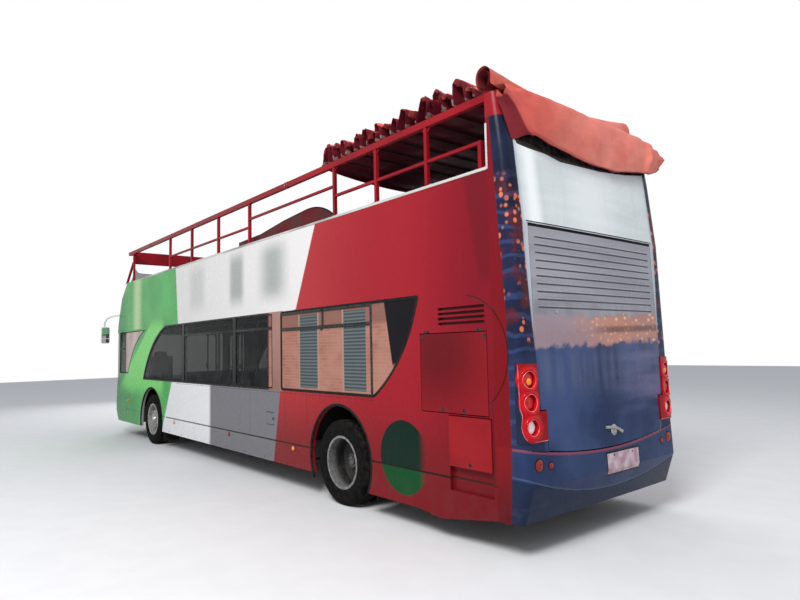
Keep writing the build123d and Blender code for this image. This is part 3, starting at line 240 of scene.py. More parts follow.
def piece(name, mesh, body, material, smooth=True):
    """Object from a mesh under construction, riding on a body."""
    bmesh.ops.recalc_face_normals(mesh, faces=mesh.faces)
    data = bpy.data.meshes.new(name)
    mesh.to_mesh(data)
    mesh.free()
    data.materials.append(material)
    made = bpy.data.objects.new(name, data)
    bpy.context.scene.collection.objects.link(made)
    if smooth:
        data.shade_smooth()
        data.set_sharp_from_angle(angle=math.radians(38))
    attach(made, body)
    return made


# Air springs, dampers, steering links, drive shaft and air tanks under the floor.
# Rubber bellows on steel seats, steel tubes and welded steel tanks, bolted to the axles and the rails.
FRONT_AXLE_X = 3.24
REAR_AXLE_X = -3.30
AXLE_Z = 0.479
SPRINGS_X = (REAR_AXLE_X - 0.36, REAR_AXLE_X + 0.36)
SPRING_Y = 0.46
SPRING_FOOT_Z = 0.478
BELLOWS = [
    (0.0, 0.070), (0.02, 0.095), (0.05, 0.108), (0.08, 0.095), (0.09, 0.088), (0.12, 0.104), (0.15, 0.07),
]


def black_rubber(where):
    dusty = grain(where, 14.0, detail=7.0)
    return (
        tint(dusty, (0.006, 0.006, 0.006), (0.020, 0.019, 0.017)),
        grade(dusty, -2.2, 1.5),
        relief(grain(where, 160.0), 0.0006),
    )


RUBBER = finish("moulded_rubber", black_rubber, Specular_IOR_Level=0.12)
springs = bmesh.new()
for side in (1, -1):
    for spring_x in SPRINGS_X:
        turned_in(springs, (spring_x, side * SPRING_Y, SPRING_FOOT_Z), (0, 0, 1), BELLOWS, 28)
piece("air_springs", springs, "bus", RUBBER)

under_steel = bmesh.new()
for side in (1, -1):
    spring_y = side * SPRING_Y
    for spring_x in SPRINGS_X:
        seat = (spring_x + 0.1, spring_y + 0.09, SPRING_FOOT_Z)
        box_in(under_steel, (spring_x - 0.1, spring_y - 0.09, 0.44), seat, 0.008)
        damper_x = spring_x * 0.98 - 0.05
        tube_in(under_steel, [(damper_x, side * 0.30, 0.43), (damper_x, side * 0.36, 0.69)], 0.032, 14)
    beam_end = (REAR_AXLE_X + 0.46, spring_y + 0.035, 0.44)
    box_in(under_steel, (REAR_AXLE_X - 0.46, spring_y - 0.035, 0.37), beam_end, 0.012)
    drag_link = [(FRONT_AXLE_X - 0.12, side * 0.40, 0.27), (FRONT_AXLE_X - 0.80, side * 0.36, 0.335)]
    tube_in(under_steel, drag_link, 0.026, 12)
turned_in(under_steel, (-4.40, 0.0, 0.62), (1, 0, -0.15), [(0.0, 0.045), (0.92, 0.045)], 16)
for tank_x in (0.9, -0.6):
    tank = [(0.0, 0.05), (0.02, 0.10), (0.06, 0.125), (0.80, 0.125), (0.84, 0.10), (0.86, 0.05)]
    turned_in(under_steel, (tank_x, -0.78, 0.24), (1, 0, 0), tank, 24)
piece("under_floor_gear", under_steel, "bus", CHASSIS_PAINT)


# Tyres.
# Steel-belted road tyres with five ribs between wavy grooves, moulded in black rubber.
# The side walls have turned rings and are bare of lettering; dust lies in the grooves and on the walls.
TYRE_R = 0.479
GROOVES = (-0.068, -0.023, 0.023, 0.068)
GROOVE_HALF = 0.0055
GROOVE_DEPTH = 0.011
TYRE_STEPS = 132
SIDE_WALL = [(0.1045, 0.2865), (0.113, 0.291), (0.121, 0.302), (0.1265, 0.306), (0.130, 0.330), (0.1355, 0.358),
             (0.1372, 0.383), (0.1372, 0.387), (0.1358, 0.392), (0.1355, 0.412), (0.133, 0.430), (0.129, 0.437),
             (0.124, 0.458), (0.117, 0.470)]


def tyre_in(mesh, centre):
    tread = [(0.108, 0.4755)]
    for groove in reversed(GROOVES):
        for offset, depth in ((1, 0), (0.7, 1), (-0.7, 1), (-1, 0)):
            tread.append((groove + offset * GROOVE_HALF, TYRE_R - 0.0008 - depth * GROOVE_DEPTH))
    tread.append((-0.108, 0.4755))
    profile = SIDE_WALL + tread + [(-across, radius) for across, radius in reversed(SIDE_WALL)]
    rows = []
    for step in range(TYRE_STEPS):
        angle = 2 * math.pi * step / TYRE_STEPS
        row = []
        for across, radius in profile:
            wave = 0.0022 * math.sin(step * math.pi / 2) if abs(across) < 0.09 else 0.0
            lug = 0.0052 if abs(across) in (0.108, 0.117) and step % 2 else 0.0
            reach = radius - lug
            place = (math.cos(angle) * reach, across + wave, math.sin(angle) * reach)
            row.append(mesh.verts.new(Vector(centre) + Vector(place)))
        rows.append(row)
    for step in range(TYRE_STEPS):
        first, second = rows[step], rows[(step + 1) % TYRE_STEPS]
        for i in range(len(profile) - 1):
            mesh.faces.new((first[i], first[i + 1], second[i + 1], second[i]))


def from_point(first, second, centre):
    """Distance from a point in the plane of two axes."""
    flat = first.node("CombineXYZ", X=first - centre[0], Y=second - centre[1])
    return first.node("VectorMath", out="Value", settings={"operation": "LENGTH"}, Vector=flat)


def tyre_rubber(centre_x):
    def build(where):
        x, z = where.axes("XZ")
        reach = from_point(x, z, (centre_x, AXLE_Z))
        on_tread = grade(reach, 0.462, 0.476)
        dust = grain(where, 18.0, detail=8.0) * (on_tread * 0.5 + 0.35)
        rings = calc("SINE", reach * 900.0)
        fine = (1.0 - on_tread) * rings
        return (
            tint(dust, (0.0035, 0.0035, 0.004), (0.026, 0.023, 0.020)),
            grade(dust, -2.4, 0.9),
            relief(fine * 0.35 + grain(where, 240.0), 0.0007),
        )

    return build


WHEEL_PLACES = [
    ("front_left", FRONT_AXLE_X, (1.090,)), ("front_right", FRONT_AXLE_X, (-1.090,)),
    ("rear_left", REAR_AXLE_X, (1.090, 0.780)), ("rear_right", REAR_AXLE_X, (-1.090, -0.780)),
]
tyre_finish = {
    x: finish("tyre_rubber_" + end, tyre_rubber(x), Specular_IOR_Level=0.06)
    for end, x in (("front", FRONT_AXLE_X), ("rear", REAR_AXLE_X))
}
for corner, wheel_x, wheel_ys in WHEEL_PLACES:
    tread = bmesh.new()
    for wheel_y in wheel_ys:
        tyre_in(tread, (wheel_x, wheel_y, AXLE_Z))
    several = len(wheel_ys) > 1
    body = ("wheels_" if several else "wheel_") + corner
    tyre = piece("road_tyres_" + corner, tread, body, tyre_finish[wheel_x])
    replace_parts(tyre, ("tyres_" if several else "tyre_") + corner)


# Rims, hub caps and wheel nuts.
# Pressed steel discs welded in rolled barrels, sprayed silver, with a painted highlight on the outer lip and
# painted shade deep in the dish, darkest on the rear pair.
# Ten capped nuts hold each wheel; brake dust darkens the dish and the hand holes, and painted shade darkens the
# rear nuts and hub caps deep in the dish.
NUTS = 10
NUT_CIRCLE_R = 0.1675
NUT_R = 0.0165


def rim_paint(centre_x, bright, deep):
    def build(where):
        x, y, z = where.axes("XYZ")
        reach = from_point(x, z, (centre_x, AXLE_Z))
        outboard = grade(abs(y), 1.06, 1.17)
        dust = grain(where, 26.0, detail=9.0, low=0.3, high=0.7) * 0.6
        # Lighter on the outer lip and darker deep in the dish: painted highlight and painted shade.
        edge = grade(reach, 0.235, 0.272) * outboard
        silver = tint(edge, deep, bright)
        return (
            tint(dust, silver, (0.055, 0.05, 0.044)),
            grade(dust, -0.8, 1.3),
            relief(grain(where, 130.0, detail=6.0), 0.0006),
        )

    return build


FRONT_SILVER = rim_paint(FRONT_AXLE_X, (0.52, 0.51, 0.50), (0.40, 0.39, 0.385))
FRONT_RIM = finish("front_rim_silver", FRONT_SILVER, Metallic=0.55)
REAR_GREY = rim_paint(REAR_AXLE_X, (0.28, 0.275, 0.27), (0.020, 0.020, 0.021))
REAR_RIM = finish("rear_rim_grey", REAR_GREY, Metallic=0.45)
coat(FRONT_RIM, "rim_front_left", "rim_front_right")
coat(REAR_RIM, "rims_rear_left", "rims_rear_right")


def worn_metal(light, dark):
    def build(where):
        rub = grain(where, 60.0, detail=8.0)
        return tint(rub, light, dark), grade(rub, -0.7, 2.4), relief(grain(where, 300.0), 0.0002)

    return build


BRIGHT_METAL = finish("worn_bright_metal", worn_metal((0.55, 0.54, 0.52), (0.26, 0.24, 0.22)), Metallic=0.9)
# The rear nuts and hub caps are dark from brake dust and from painted shade deep in the dish.
DUST_AND_SHADE_METAL = finish("brake_dust_and_painted_shade_metal", worn_metal((0.16, 0.155, 0.15), (0.035, 0.033, 0.03)), Metallic=0.7)
NUT_PROFILE = [
    (0.0, NUT_R * 1.25), (0.006, NUT_R * 1.25), (0.007, NUT_R), (0.026, NUT_R), (0.029, NUT_R * 0.75),
]
CAP_PROFILE = [
    (0.0, 0.086), (0.012, 0.086), (0.020, 0.080), (0.024, 0.062), (0.034, 0.058), (0.038, 0.05), (0.040, 0.0),
]
for corner, wheel_x, wheel_ys in WHEEL_PLACES:
    outward = 1 if wheel_ys[0] > 0 else -1
    rear = len(wheel_ys) > 1
    face_y, hub_y = (0.948, 1.054) if rear else (1.160, 1.185)
    metal = bmesh.new()
    for nut in range(NUTS):
        angle = 2 * math.pi * (nut + 0.5) / NUTS
        nut_x = wheel_x + NUT_CIRCLE_R * math.cos(angle)
        nut_z = AXLE_Z + NUT_CIRCLE_R * math.sin(angle)
        turned_in(metal, (nut_x, outward * face_y, nut_z), (0, outward, 0), NUT_PROFILE, 6)
    turned_in(metal, (wheel_x, outward * hub_y, AXLE_Z), (0, outward, 0), CAP_PROFILE, 30)
    valve = [
        (wheel_x + 0.245, outward * 1.10, AXLE_Z + 0.04), (wheel_x + 0.225, outward * 1.165, AXLE_Z + 0.035),
    ]
    tube_in(metal, valve, 0.005, 8)
    body = ("wheels_" if rear else "wheel_") + corner
    piece("wheel_nuts_" + corner, metal, body, DUST_AND_SHADE_METAL if rear else BRIGHT_METAL)


# Mud flaps.
# Cut from sheet rubber and bolted under the floor.
# One hangs behind each front wheel and one behind each rear pair.
FLAP_T = 0.008
for side, name in ((1, "left"), (-1, "right")):
    flaps = bmesh.new()
    for flap_x, low_z, high_z in ((2.545, 0.13, 0.42), (-3.985, 0.17, 0.50)):
        box_in(flaps, (flap_x, side * 0.93, low_z), (flap_x + FLAP_T, side * 1.235, high_z), 0.003)
    piece("mud_flaps_" + name, flaps, "bus", RUBBER)


# Body sides and upper side panels.
# Bonded aluminium sheets over a steel frame, painted and wrapped in green, white and red; grey laminate inside.
# The groove along the skirt, the panel seams and the curved seam at the rear corner show the sheet edges.
SEAMS_BELOW_WINDOWS = (-0.74, -1.06, -2.06, -2.61)
CORNER_SEAM = {"centre": (-5.295, 1.697), "radius": 0.531}
DISC = {"centre": (-4.44, 0.68), "radius": 0.365}


def between(value, low, high, soft):
    """1 from low to high and 0 outside, over an edge soft metres wide."""
    return grade(value, low - soft / 2, low + soft / 2) * grade(value, high + soft / 2, high - soft / 2)


def from_line(x, z, start, slope):
    """Distance in X in front of a line that leans slope metres in X for each metre of Z."""
    return x - start[0] - (z - start[1]) * slope


def outer_face(where, way=0.0):
    """0 on faces that look toward the middle of the bus, and 1 on all others; way is the end's sign."""
    facing = where.node("NewGeometry", out="Normal")
    outward = where.node("CombineXYZ", X=way, Y=calc("SIGN", where.axis("Y")))
    along = where.node("VectorMath", out="Value", settings={"operation": "DOT_PRODUCT"}, n0=facing, n1=outward)
    return grade(along, -0.08, -0.03)


def side_colours(where):
    """Colour of the sides: green nose, white middle and red rear with a green disc."""
    x, y, z = where.axes("XYZ")
    left = grade(y, -0.5, 0.5)
    upper = grade(z, 2.26, 2.29)
    lower_part = 1.0 - upper
    cloud = grain(where, 0.9, detail=3.0, low=0.3, high=0.7)

    green = tint(cloud, (0.045, 0.30, 0.065), (0.085, 0.43, 0.105))
    # Painted sheen: a lighter band of reflected light across the upper green, on the left side only.
    sheen = between(x, 3.97, 4.42, 0.36) * upper * left
    green = tint(sheen, green, (0.42, 0.62, 0.30))
    sweep = grade(from_line(x, z, (3.357, 2.332), -1.61), 0.03, -0.03)
    sweep = sweep * grade(x, 2.45, 2.75) * between(z, 1.0, 2.36, 0.3)
    green = tint(sweep, green, (0.17, 0.62, 0.14))
    # The green darkens round the nose corner, partly in the paint and partly as painted shade.
    green = tint(grade(x, 4.75, 5.6) * 0.75, green, (0.03, 0.20, 0.07))

    grey_to_white = grade(x, 0.30, 0.42)
    white = tint(grey_to_white, (0.165, 0.160, 0.175), (0.74, 0.74, 0.75))
    # Darker grey-green bands on the upper white, on the left side only, are painted reflections.
    bands = between(x, -0.84, -0.40, 0.2) + between(x, -2.05, -1.45, 0.5)
    bands = bands + between(x, 0.62, 1.22, 0.3) * 0.45
    fading = between(z, 2.50, 3.20, 0.3) * left
    bands = calc("MINIMUM", bands * fading * 0.7, 0.8)
    high_white = tint(bands, (0.68, 0.66, 0.65), (0.20, 0.23, 0.22))
    white = tint(upper, white, high_white)

    red = tint(grade(x, -1.9, -4.2), (0.38, 0.026, 0.030), (0.29, 0.010, 0.019))
    red = tint(grade(x, -4.4, -5.6), red, (0.18, 0.005, 0.013))
    red = tint(grade(z, 1.35, 0.5) * 0.75, red, (0.13, 0.006, 0.008))
    # A darker band on the upper red near the rear, on the left side only, is painted shade.
    painted_shade_band = between(from_line(x, z, (-5.52, 2.4), 0.16), -0.36, 0.0, 0.06) * grade(z, 2.25, 2.45)
    red = tint(painted_shade_band * left * 0.6, red, (0.11, 0.005, 0.011))

    low_green = from_line(x, z, (2.291, 0.901), -0.543) * lower_part
    to_green = low_green + from_line(x, z, (1.863, 2.721), 0.127) * upper
    low_white = from_line(x, z, (-1.87, 0.85), -0.2) * lower_part
    to_white = low_white + from_line(x, z, (-2.475, 2.525), -0.469) * upper
    colour = tint(grade(to_white, -0.012, 0.012), red, white)
    colour = tint(grade(to_green, -0.012, 0.012), colour, green)

    disc = grade(from_point(x, z, DISC["centre"]), DISC["radius"] + 0.004, DISC["radius"] - 0.004)
    disc = disc * grade(x, -4.80, -4.66)
    disc_green = tint(grade(z, 0.574, 0.582), (0.001, 0.060, 0.014), (0.001, 0.016, 0.009))
    colour = tint(disc, colour, disc_green)
    film = between(x, -2.02, -1.617, 0.004) * between(z, 1.236, 2.288, 0.004)
    return tint(film, colour, tint(cloud, (0.33, 0.175, 0.145), (0.24, 0.115, 0.095)))


def side_seams(where):
    """1 along the sheet edges."""
    x, z = where.axes("XZ")
    below = grade(z, 1.20, 1.19) * grade(z, 0.57, 0.58)
    lines = [between(x, at - 0.002, at + 0.002, 0.003) * below for at in SEAMS_BELOW_WINDOWS]
    round_off = from_point(x, z, CORNER_SEAM["centre"]) - CORNER_SEAM["radius"]
    arc = between(round_off, -0.006, 0.006, 0.004) * grade(x, -5.34, -5.40)
    total = arc * grade(z, 1.26, 1.28)
    lines.append(between(x, -5.645, -5.636, 0.004) * between(z, 0.60, 1.30, 0.01))
    lines.append(between(z, 0.571, 0.591, 0.004) * between(x, -5.63, 4.8, 0.01))
    lines.append(between(z, 1.214, 1.219, 0.003) * between(x, -4.0, 1.9, 0.01))
    for line in lines:
        total = total + line
    return calc("MINIMUM", total, 1.0)


def gloss_paint(colours, way=0.0, seams=None):
    """Gloss paint outside with road film low down, and grey laminate inside."""
    def build(where):
        z = where.axis("Z")
        outside = outer_face(where, way)
        colour = colours(where)
        low = grade(z, 0.85, 0.22)
        splash = low * grain(where, 5.0, detail=10.0, low=0.35, high=0.85)
        runs = grain(where, 9.0, detail=6.0, stretch=(0.5, 0.5, 7.0), low=0.55, high=0.9) * 0.07
        film = calc("MINIMUM", splash * 0.16 + runs, 0.6)
        colour = tint(film, colour, (0.10, 0.075, 0.060))
        height = grain(where, 1.3, detail=2.0, low=0.2, high=0.8) * 0.9
        if seams:
            edges = seams(where)
            colour = tint(edges * 0.85, colour, (0.02, 0.012, 0.012))
            height = height - edges
        lining = tint(grain(where, 40.0, detail=6.0), (0.26, 0.26, 0.25), (0.31, 0.305, 0.295))
        scuffs = grain(where, 22.0, detail=12.0, low=0.2, high=0.8)
        gloss = scuffs * 0.10 + film * 0.5
        rough = gloss + (1.0 - outside) * 0.3 + 0.2
        return tint(outside, lining, colour), rough, relief(height, 0.0016)

    return build


WRAP_GLOSS = {"Specular_IOR_Level": 0.09, "Coat_Weight": 0.02, "Coat_Roughness": 0.1}
SIDE_PAINT = finish("side_livery", gloss_paint(side_colours, seams=side_seams), **WRAP_GLOSS)
coat(SIDE_PAINT, "side_wall_left", "side_wall_right", "parapet_left", "parapet_right")


# Window band.
# Black glazing rubber holds each pane, and black printed borders join the panes into one band.
# Aluminium bars of the tilting top lights cross the panes.
SKIN_Y = 1.2495
PANE_Z = (1.262, 2.262)
BORDER_DEPTHS = (SKIN_Y, 1.2515)
BAND_LOW_Z, BAND_HIGH_Z = 1.238, 2.286
PANES = {1: [(-1.73, -0.59), (-0.49, 1.50)], -1: [(-1.73, -1.01), (0.46, 1.50)]}


def arc_points(start, middle, end, steps):
    """Points on the circle through three points in a plane."""
    (ax, az), (bx, bz), (cx, cz) = start, middle, end
    scale = 2 * (ax * (bz - cz) + bx * (cz - az) + cx * (az - bz))
    a2, b2, c2 = ax * ax + az * az, bx * bx + bz * bz, cx * cx + cz * cz
    ux = (a2 * (bz - cz) + b2 * (cz - az) + c2 * (az - bz)) / scale
    uz = (a2 * (cx - bx) + b2 * (ax - cx) + c2 * (bx - ax)) / scale
    radius = math.hypot(ax - ux, az - uz)
    angles = [math.atan2(pz - uz, px - ux) for px, pz in (start, middle, end)]
    first = (angles[1] - angles[0] + math.pi) % (2 * math.pi) - math.pi
    last = (angles[2] - angles[1] + math.pi) % (2 * math.pi) - math.pi
    spread = first + last
    turns = [angles[0] + spread * i / steps for i in range(steps + 1)]
    return [(ux + radius * math.cos(t), uz + radius * math.sin(t)) for t in turns]


REAR_PANE = [(-1.98, 1.262), (-1.98, 2.262)] + arc_points((-4.705, 2.262), (-4.435, 1.694), (-3.978, 1.262), 24)
REAR_PANE_BARS = [(-3.005, -2.965, 2.035, 2.255), (-3.957, -3.925, 1.27, 2.255), (-3.93, -1.995, 2.222, 2.256)]


def widened(outline, by):
    """Outline moved outward by a distance; its points run counter-clockwise."""
    moved = []
    count = len(outline)
    for i in range(count):
        before, here, after = (Vector(outline[(i + k) % count]) for k in (-1, 0, 1))
        first, second = (here - before).normalized(), (after - here).normalized()
        out_a, out_b = Vector((first.y, -first.x)), Vector((second.y, -second.x))
        both = (out_a + out_b).normalized()
        moved.append(tuple(here + both * (by / max(both.dot(out_a), 0.4))))
    return moved


def rounded(outline, radius, steps=5):
    """Outline with its corners rounded."""
    soft = []
    count = len(outline)
    for i in range(count):
        before, here, after = (Vector(outline[(i + k) % count]) for k in (-1, 0, 1))
        reach = min(radius, (before - here).length / 2, (after - here).length / 2)
        start = here + (before - here).normalized() * reach
        end = here + (after - here).normalized() * reach
        for step in range(steps + 1):
            t = step / steps
            soft.append(tuple((1 - t) ** 2 * start + 2 * t * (1 - t) * here + t * t * end))
    return soft


def plate_in(mesh, outlines, place, depths):
    """Adds a flat plate: the first outline is its edge, the others its holes; place gives its points."""
    loops = [[Vector((u, v, 0.0)) for u, v in outline] for outline in outlines]
    flat = [point for loop in loops for point in loop]
    rows = [[mesh.verts.new(place(point.x, point.y, depth)) for point in flat] for depth in depths]
    for triangle in tessellate_polygon(loops):
        for row in rows:
            mesh.faces.new([row[i] for i in triangle])
    start = 0
    for loop in loops:
        for i in range(len(loop)):
            a, b = start + i, start + (i + 1) % len(loop)
            mesh.faces.new((rows[0][a], rows[0][b], rows[1][b], rows[1][a]))
        start += len(loop)


def on_side(side):
    return lambda u, v, depth: (u, side * depth, v)


def box_outline(x_span, z_span):
    return [(x_span[0], z_span[0]), (x_span[1], z_span[0]), (x_span[1], z_span[1]), (x_span[0], z_span[1])]


def black_print_and_shadow_look(where):
    dusty = grain(where, 12.0, detail=9.0)
    return (
        tint(dusty, (0.006, 0.006, 0.007), (0.022, 0.021, 0.02)),
        grade(dusty, -0.5, 3.2),
        relief(grain(where, 3.0), 0.0005),
    )


def anodised_black(where):
    worn = grain(where, 35.0, detail=8.0)
    return (
        tint(worn, (0.012, 0.012, 0.013), (0.045, 0.044, 0.043)),
        grade(worn, -1.0, 2.2),
        relief(grain(where, 200.0), 0.0003),
    )


BLACK_PRINT_AND_SHADOW = finish("black_border_print_and_painted_shadow", black_print_and_shadow_look, Specular_IOR_Level=0.08)
BAR_BLACK = finish("anodised_black_bar", anodised_black, Specular_IOR_Level=0.1)
front_pane = [(1.60, 2.262), (1.60, 1.262)] + arc_points((3.74, 1.262), (3.33, 1.79), (2.45, 2.262), 24)
band_end = arc_points((3.775, BAND_LOW_Z), (3.362, 1.805), (2.458, BAND_HIGH_Z), 24)
band_edge = [(-1.62, BAND_HIGH_Z), (-1.62, BAND_LOW_Z)] + band_end
rubber = bmesh.new()
borders = bmesh.new()
bars = bmesh.new()
for side in (1, -1):
    place = on_side(side)
    side_panes = [box_outline(span, PANE_Z) for span in PANES[side]]
    if side > 0:
        inside_band = [box_outline((-1.595, -0.59), PANE_Z), *side_panes[1:], front_pane]
        band_outlines = [band_edge] + [rounded(pane, 0.03) for pane in inside_band]
        plate_in(borders, band_outlines, place, BORDER_DEPTHS)
    else:
        rear_border = [(-1.62, BAND_HIGH_Z), (-1.62, BAND_LOW_Z), (-0.91, BAND_LOW_Z), (-0.91, BAND_HIGH_Z)]
        rear_hole = rounded(box_outline((-1.595, -1.01), PANE_Z), 0.03)
        plate_in(borders, [rear_border, rear_hole], place, BORDER_DEPTHS)
        fore_border = [(0.36, BAND_HIGH_Z), (0.36, BAND_LOW_Z)] + band_end
        holes = [rounded(box_outline((0.46, 1.50), PANE_Z), 0.03), rounded(front_pane, 0.03)]
        plate_in(borders, [fore_border, *holes], place, BORDER_DEPTHS)
    for pane in [*side_panes, front_pane, REAR_PANE]:
        inner = rounded(widened(pane, -0.014), 0.035)
        outer = rounded(widened(pane, 0.004), 0.045)
        plate_in(rubber, [outer, inner], place, (1.243, 1.2505))
    outer, inner = rounded(widened(REAR_PANE, 0.016), 0.05), rounded(widened(REAR_PANE, 0.002), 0.04)
    plate_in(rubber, [outer, inner], place, (1.2485, 1.2525))
    top_lights = [
        (2.030, (-3.925, -1.995)), (2.066, (PANES[side][0][0] + 0.012, PANES[side][0][1] - 0.012)),
        (2.066, (PANES[side][1][0] + 0.012, 1.488)),
    ]
    inner_y, outer_y = side * 1.2435, side * 1.2525
    for bar_z, (rear_x, fore_x) in top_lights:
        box_in(bars, (rear_x, inner_y, bar_z - 0.014), (fore_x, outer_y, bar_z + 0.014), 0.003)
        box_in(bars, (rear_x + 0.01, inner_y, bar_z + 0.019), (fore_x - 0.01, outer_y, bar_z + 0.027), 0.002)
        latch_x = (rear_x + fore_x) / 2
        box_in(bars, (latch_x - 0.03, inner_y, bar_z - 0.03), (latch_x + 0.03, outer_y, bar_z - 0.012), 0.004)
    for rear_x, fore_x, low_z, high_z in REAR_PANE_BARS:
        box_in(bars, (rear_x, inner_y, low_z), (fore_x, side * 1.252, high_z), 0.003)
piece("glazing_rubber", rubber, "bus", RUBBER)
piece("window_band_borders", borders, "bus", BLACK_PRINT_AND_SHADOW, smooth=False)
piece("top_light_bars", bars, "bus", BAR_BLACK)


# Wheel arch lips, side markers and body side fittings.
# Extruded rubber lips clipped on the arch edges, round plastic markers, and steel hinges, fins and rivets.
ARCHES = [(FRONT_AXLE_X, 0.440, 0.640, 0.305), (REAR_AXLE_X, 0.520, 0.600, 0.235)]
LIP_SECTION = [
    (-0.004, 1.236), (-0.004, 1.2515), (0.004, 1.2555), (0.020, 1.2550), (0.026, 1.2510), (0.026, 1.2480),
    (0.0, 1.2420),
]
LIP_STEPS = 56
lips = bmesh.new()
for side in (1, -1):
    for arch_x, arch_z, arch_r, foot_z in ARCHES:
        start = math.asin((foot_z - arch_z) / (arch_r + 0.013))
        rings = []
        for step in range(LIP_STEPS + 1):
            angle = start + (math.pi - 2 * start) * step / LIP_STEPS
            c, s = math.cos(angle), math.sin(angle)
            reach = [(arch_r + r, side * y) for r, y in LIP_SECTION]
            rings.append([(arch_x + r * c, y, arch_z + r * s) for r, y in reach])
        skin_rings(lips, rings)
piece("wheel_arch_lips", lips, "bus", RUBBER)


def waves(where, scale, **settings):
    """Even waves from 0 to 1."""
    return where.node("TexWave", out="Fac", settings=settings, Vector=where, Scale=scale)


def lens_plastic(dark, light):
    def build(where):
        ribs = waves(where, 90.0, wave_type="RINGS", rings_direction="Y")
        return tint(ribs, dark, light), grade(grain(where, 60.0), -0.4, 5.0), relief(ribs, 0.0006)

    return build


AMBER = lens_plastic((0.70, 0.19, 0.01), (0.95, 0.36, 0.03))
AMBER_LENS = finish("amber_lens", AMBER, Specular_IOR_Level=0.3, Coat_Weight=0.3)
DARK_RED = lens_plastic((0.16, 0.006, 0.006), (0.32, 0.015, 0.012))
DARK_RED_LENS = finish("dark_red_lens", DARK_RED, Specular_IOR_Level=0.2, Coat_Weight=0.2)
MARKER_PROFILE = [(0.0, 0.028), (0.006, 0.028), (0.012, 0.024), (0.015, 0.014), (0.016, 0.0)]
MARKER_RIM = [(0.0, 0.034), (0.006, 0.034), (0.007, 0.029)]
amber, dark_red, marker_rims = bmesh.new(), bmesh.new(), bmesh.new()
MARKERS = [(1.97, 0.52, amber), (-0.36, 0.53, dark_red), (-2.28, 0.53, amber), (4.72, 0.78, amber)]
for side in (1, -1):
    for marker_x, marker_z, lens in MARKERS:
        if side < 0 and marker_x in (-0.36, 4.72):
            continue
        turned_in(lens, (marker_x, side * 1.2505, marker_z), (0, side, 0), MARKER_PROFILE, 24)
        turned_in(marker_rims, (marker_x, side * 1.247, marker_z), (0, side, 0), MARKER_RIM, 24)
piece("side_markers_amber", amber, "bus", AMBER_LENS)
piece("side_marker_red", dark_red, "bus", DARK_RED_LENS)
piece("side_marker_rims", marker_rims, "bus", RUBBER)

RIVET_HEAD = [(0.0, 0.008), (0.003, 0.007), (0.004, 0.0)]
fittings = bmesh.new()
for hinge_x in (-5.50, -4.83):
    box_in(fittings, (hinge_x - 0.035, 1.246, 1.899), (hinge_x + 0.035, 1.256, 1.922), 0.003)
box_in(fittings, (-5.612, 1.247, 0.742), (-5.584, 1.257, 0.812), 0.004)
for slot in range(4):
    for fin in (0, 1):
        fin_z = 1.972 + slot * 0.046 + fin * 0.012
        box_in(fittings, (-5.576, 1.218, fin_z), (-4.994, 1.232, fin_z + 0.002))
for rivet_x in [-4.60 + 0.62 * i for i in range(12)]:
    for side in (1, -1):
        if abs(rivet_x - REAR_AXLE_X) > 0.62 and not (side < 0 and -0.95 < rivet_x < 0.40):
            turned_in(fittings, (rivet_x, side * SKIN_Y, 0.335), (0, side, 0), RIVET_HEAD, 10)
piece("side_fittings", fittings, "bus", BAR_BLACK)


# Engine door, side flap and fuel flap.
# Aluminium skins on folded frames, wrapped like the side; the engine door is darker than the panel round it.
# Recessed latches close them at their free edges.
def door_colours(where):
    fade = grade(from_point(*where.axes("XZ"), (-5.0, 1.75)), 0.75, 0.1) * 0.9
    return tint(fade, (0.215, 0.008, 0.013), (0.105, 0.004, 0.008))


def flap_colours(where):
    return tint(grain(where, 2.2), (0.28, 0.010, 0.014), (0.22, 0.008, 0.012))


DOOR_PAINT = finish("engine_door_paint", gloss_paint(door_colours), **WRAP_GLOSS)
FLAP_PAINT = finish("side_flap_paint", gloss_paint(flap_colours), **WRAP_GLOSS)
coat(DOOR_PAINT, "engine_door")
coat(FLAP_PAINT, "side_flap")
coat(SIDE_PAINT, "fuel_flap")
LATCH_DISH = [(0.0, 0.019), (0.0025, 0.018), (0.0025, 0.012), (0.001, 0.0115)]
HINGE_SCREW = [(0.0, 0.006), (0.003, 0.005), (0.0035, 0.0)]
LATCHES = [
    ("engine_door_fittings", "engine_door", [(-5.03, 1.19), (-5.30, 1.19)], SKIN_Y),
    ("side_flap_fittings", "side_flap", [(-5.365, 0.725)], 1.2615),
    ("fuel_flap_fittings", "fuel_flap", [(-1.745, 0.86)], SKIN_Y),
]
for name, body, places, face_y in LATCHES:
    latches = bmesh.new()
    for latch_x, latch_z in places:
        turned_in(latches, (latch_x, face_y, latch_z), (0, 1, 0), LATCH_DISH, 22)
        key_end = (latch_x + 0.0035, face_y + 0.0035, latch_z + 0.011)
        box_in(latches, (latch_x - 0.0035, face_y, latch_z - 0.011), key_end, 0.001)
    if body == "engine_door":
        for corner_x in (-5.565, -4.765):
            box_in(latches, (corner_x - 0.016, 1.2485, 1.835), (corner_x + 0.016, 1.2545, 1.872), 0.003)
            turned_in(latches, (corner_x, 1.2535, 1.853), (0, 1, 0), HINGE_SCREW, 10)
    piece(name, latches, body, BAR_BLACK)


# Front end and bumper.
# Glass fibre mouldings in the green of the side with a darker lower part; black rubber holds the screens.
# Headlamps are bright bowls with glass bulbs in rubber edges; the wipers are black steel with rubber blades.
NOSE_TABLE = [(0.300, 5.830), (0.520, 5.985), (0.700, 6.000), (1.100, 5.960), (2.290, 5.960), (2.560, 5.880),
              (3.000, 5.680), (3.330, 5.290), (3.720, 4.700)]
TAIL_TABLE = [(0.300, 5.900), (0.600, 6.000), (0.920, 5.985), (2.810, 5.930), (3.500, 5.865), (3.990, 5.800)]
ENDS = {1: (NOSE_TABLE, 0.280, 0.120), -1: (TAIL_TABLE, 0.090, 0.015)}


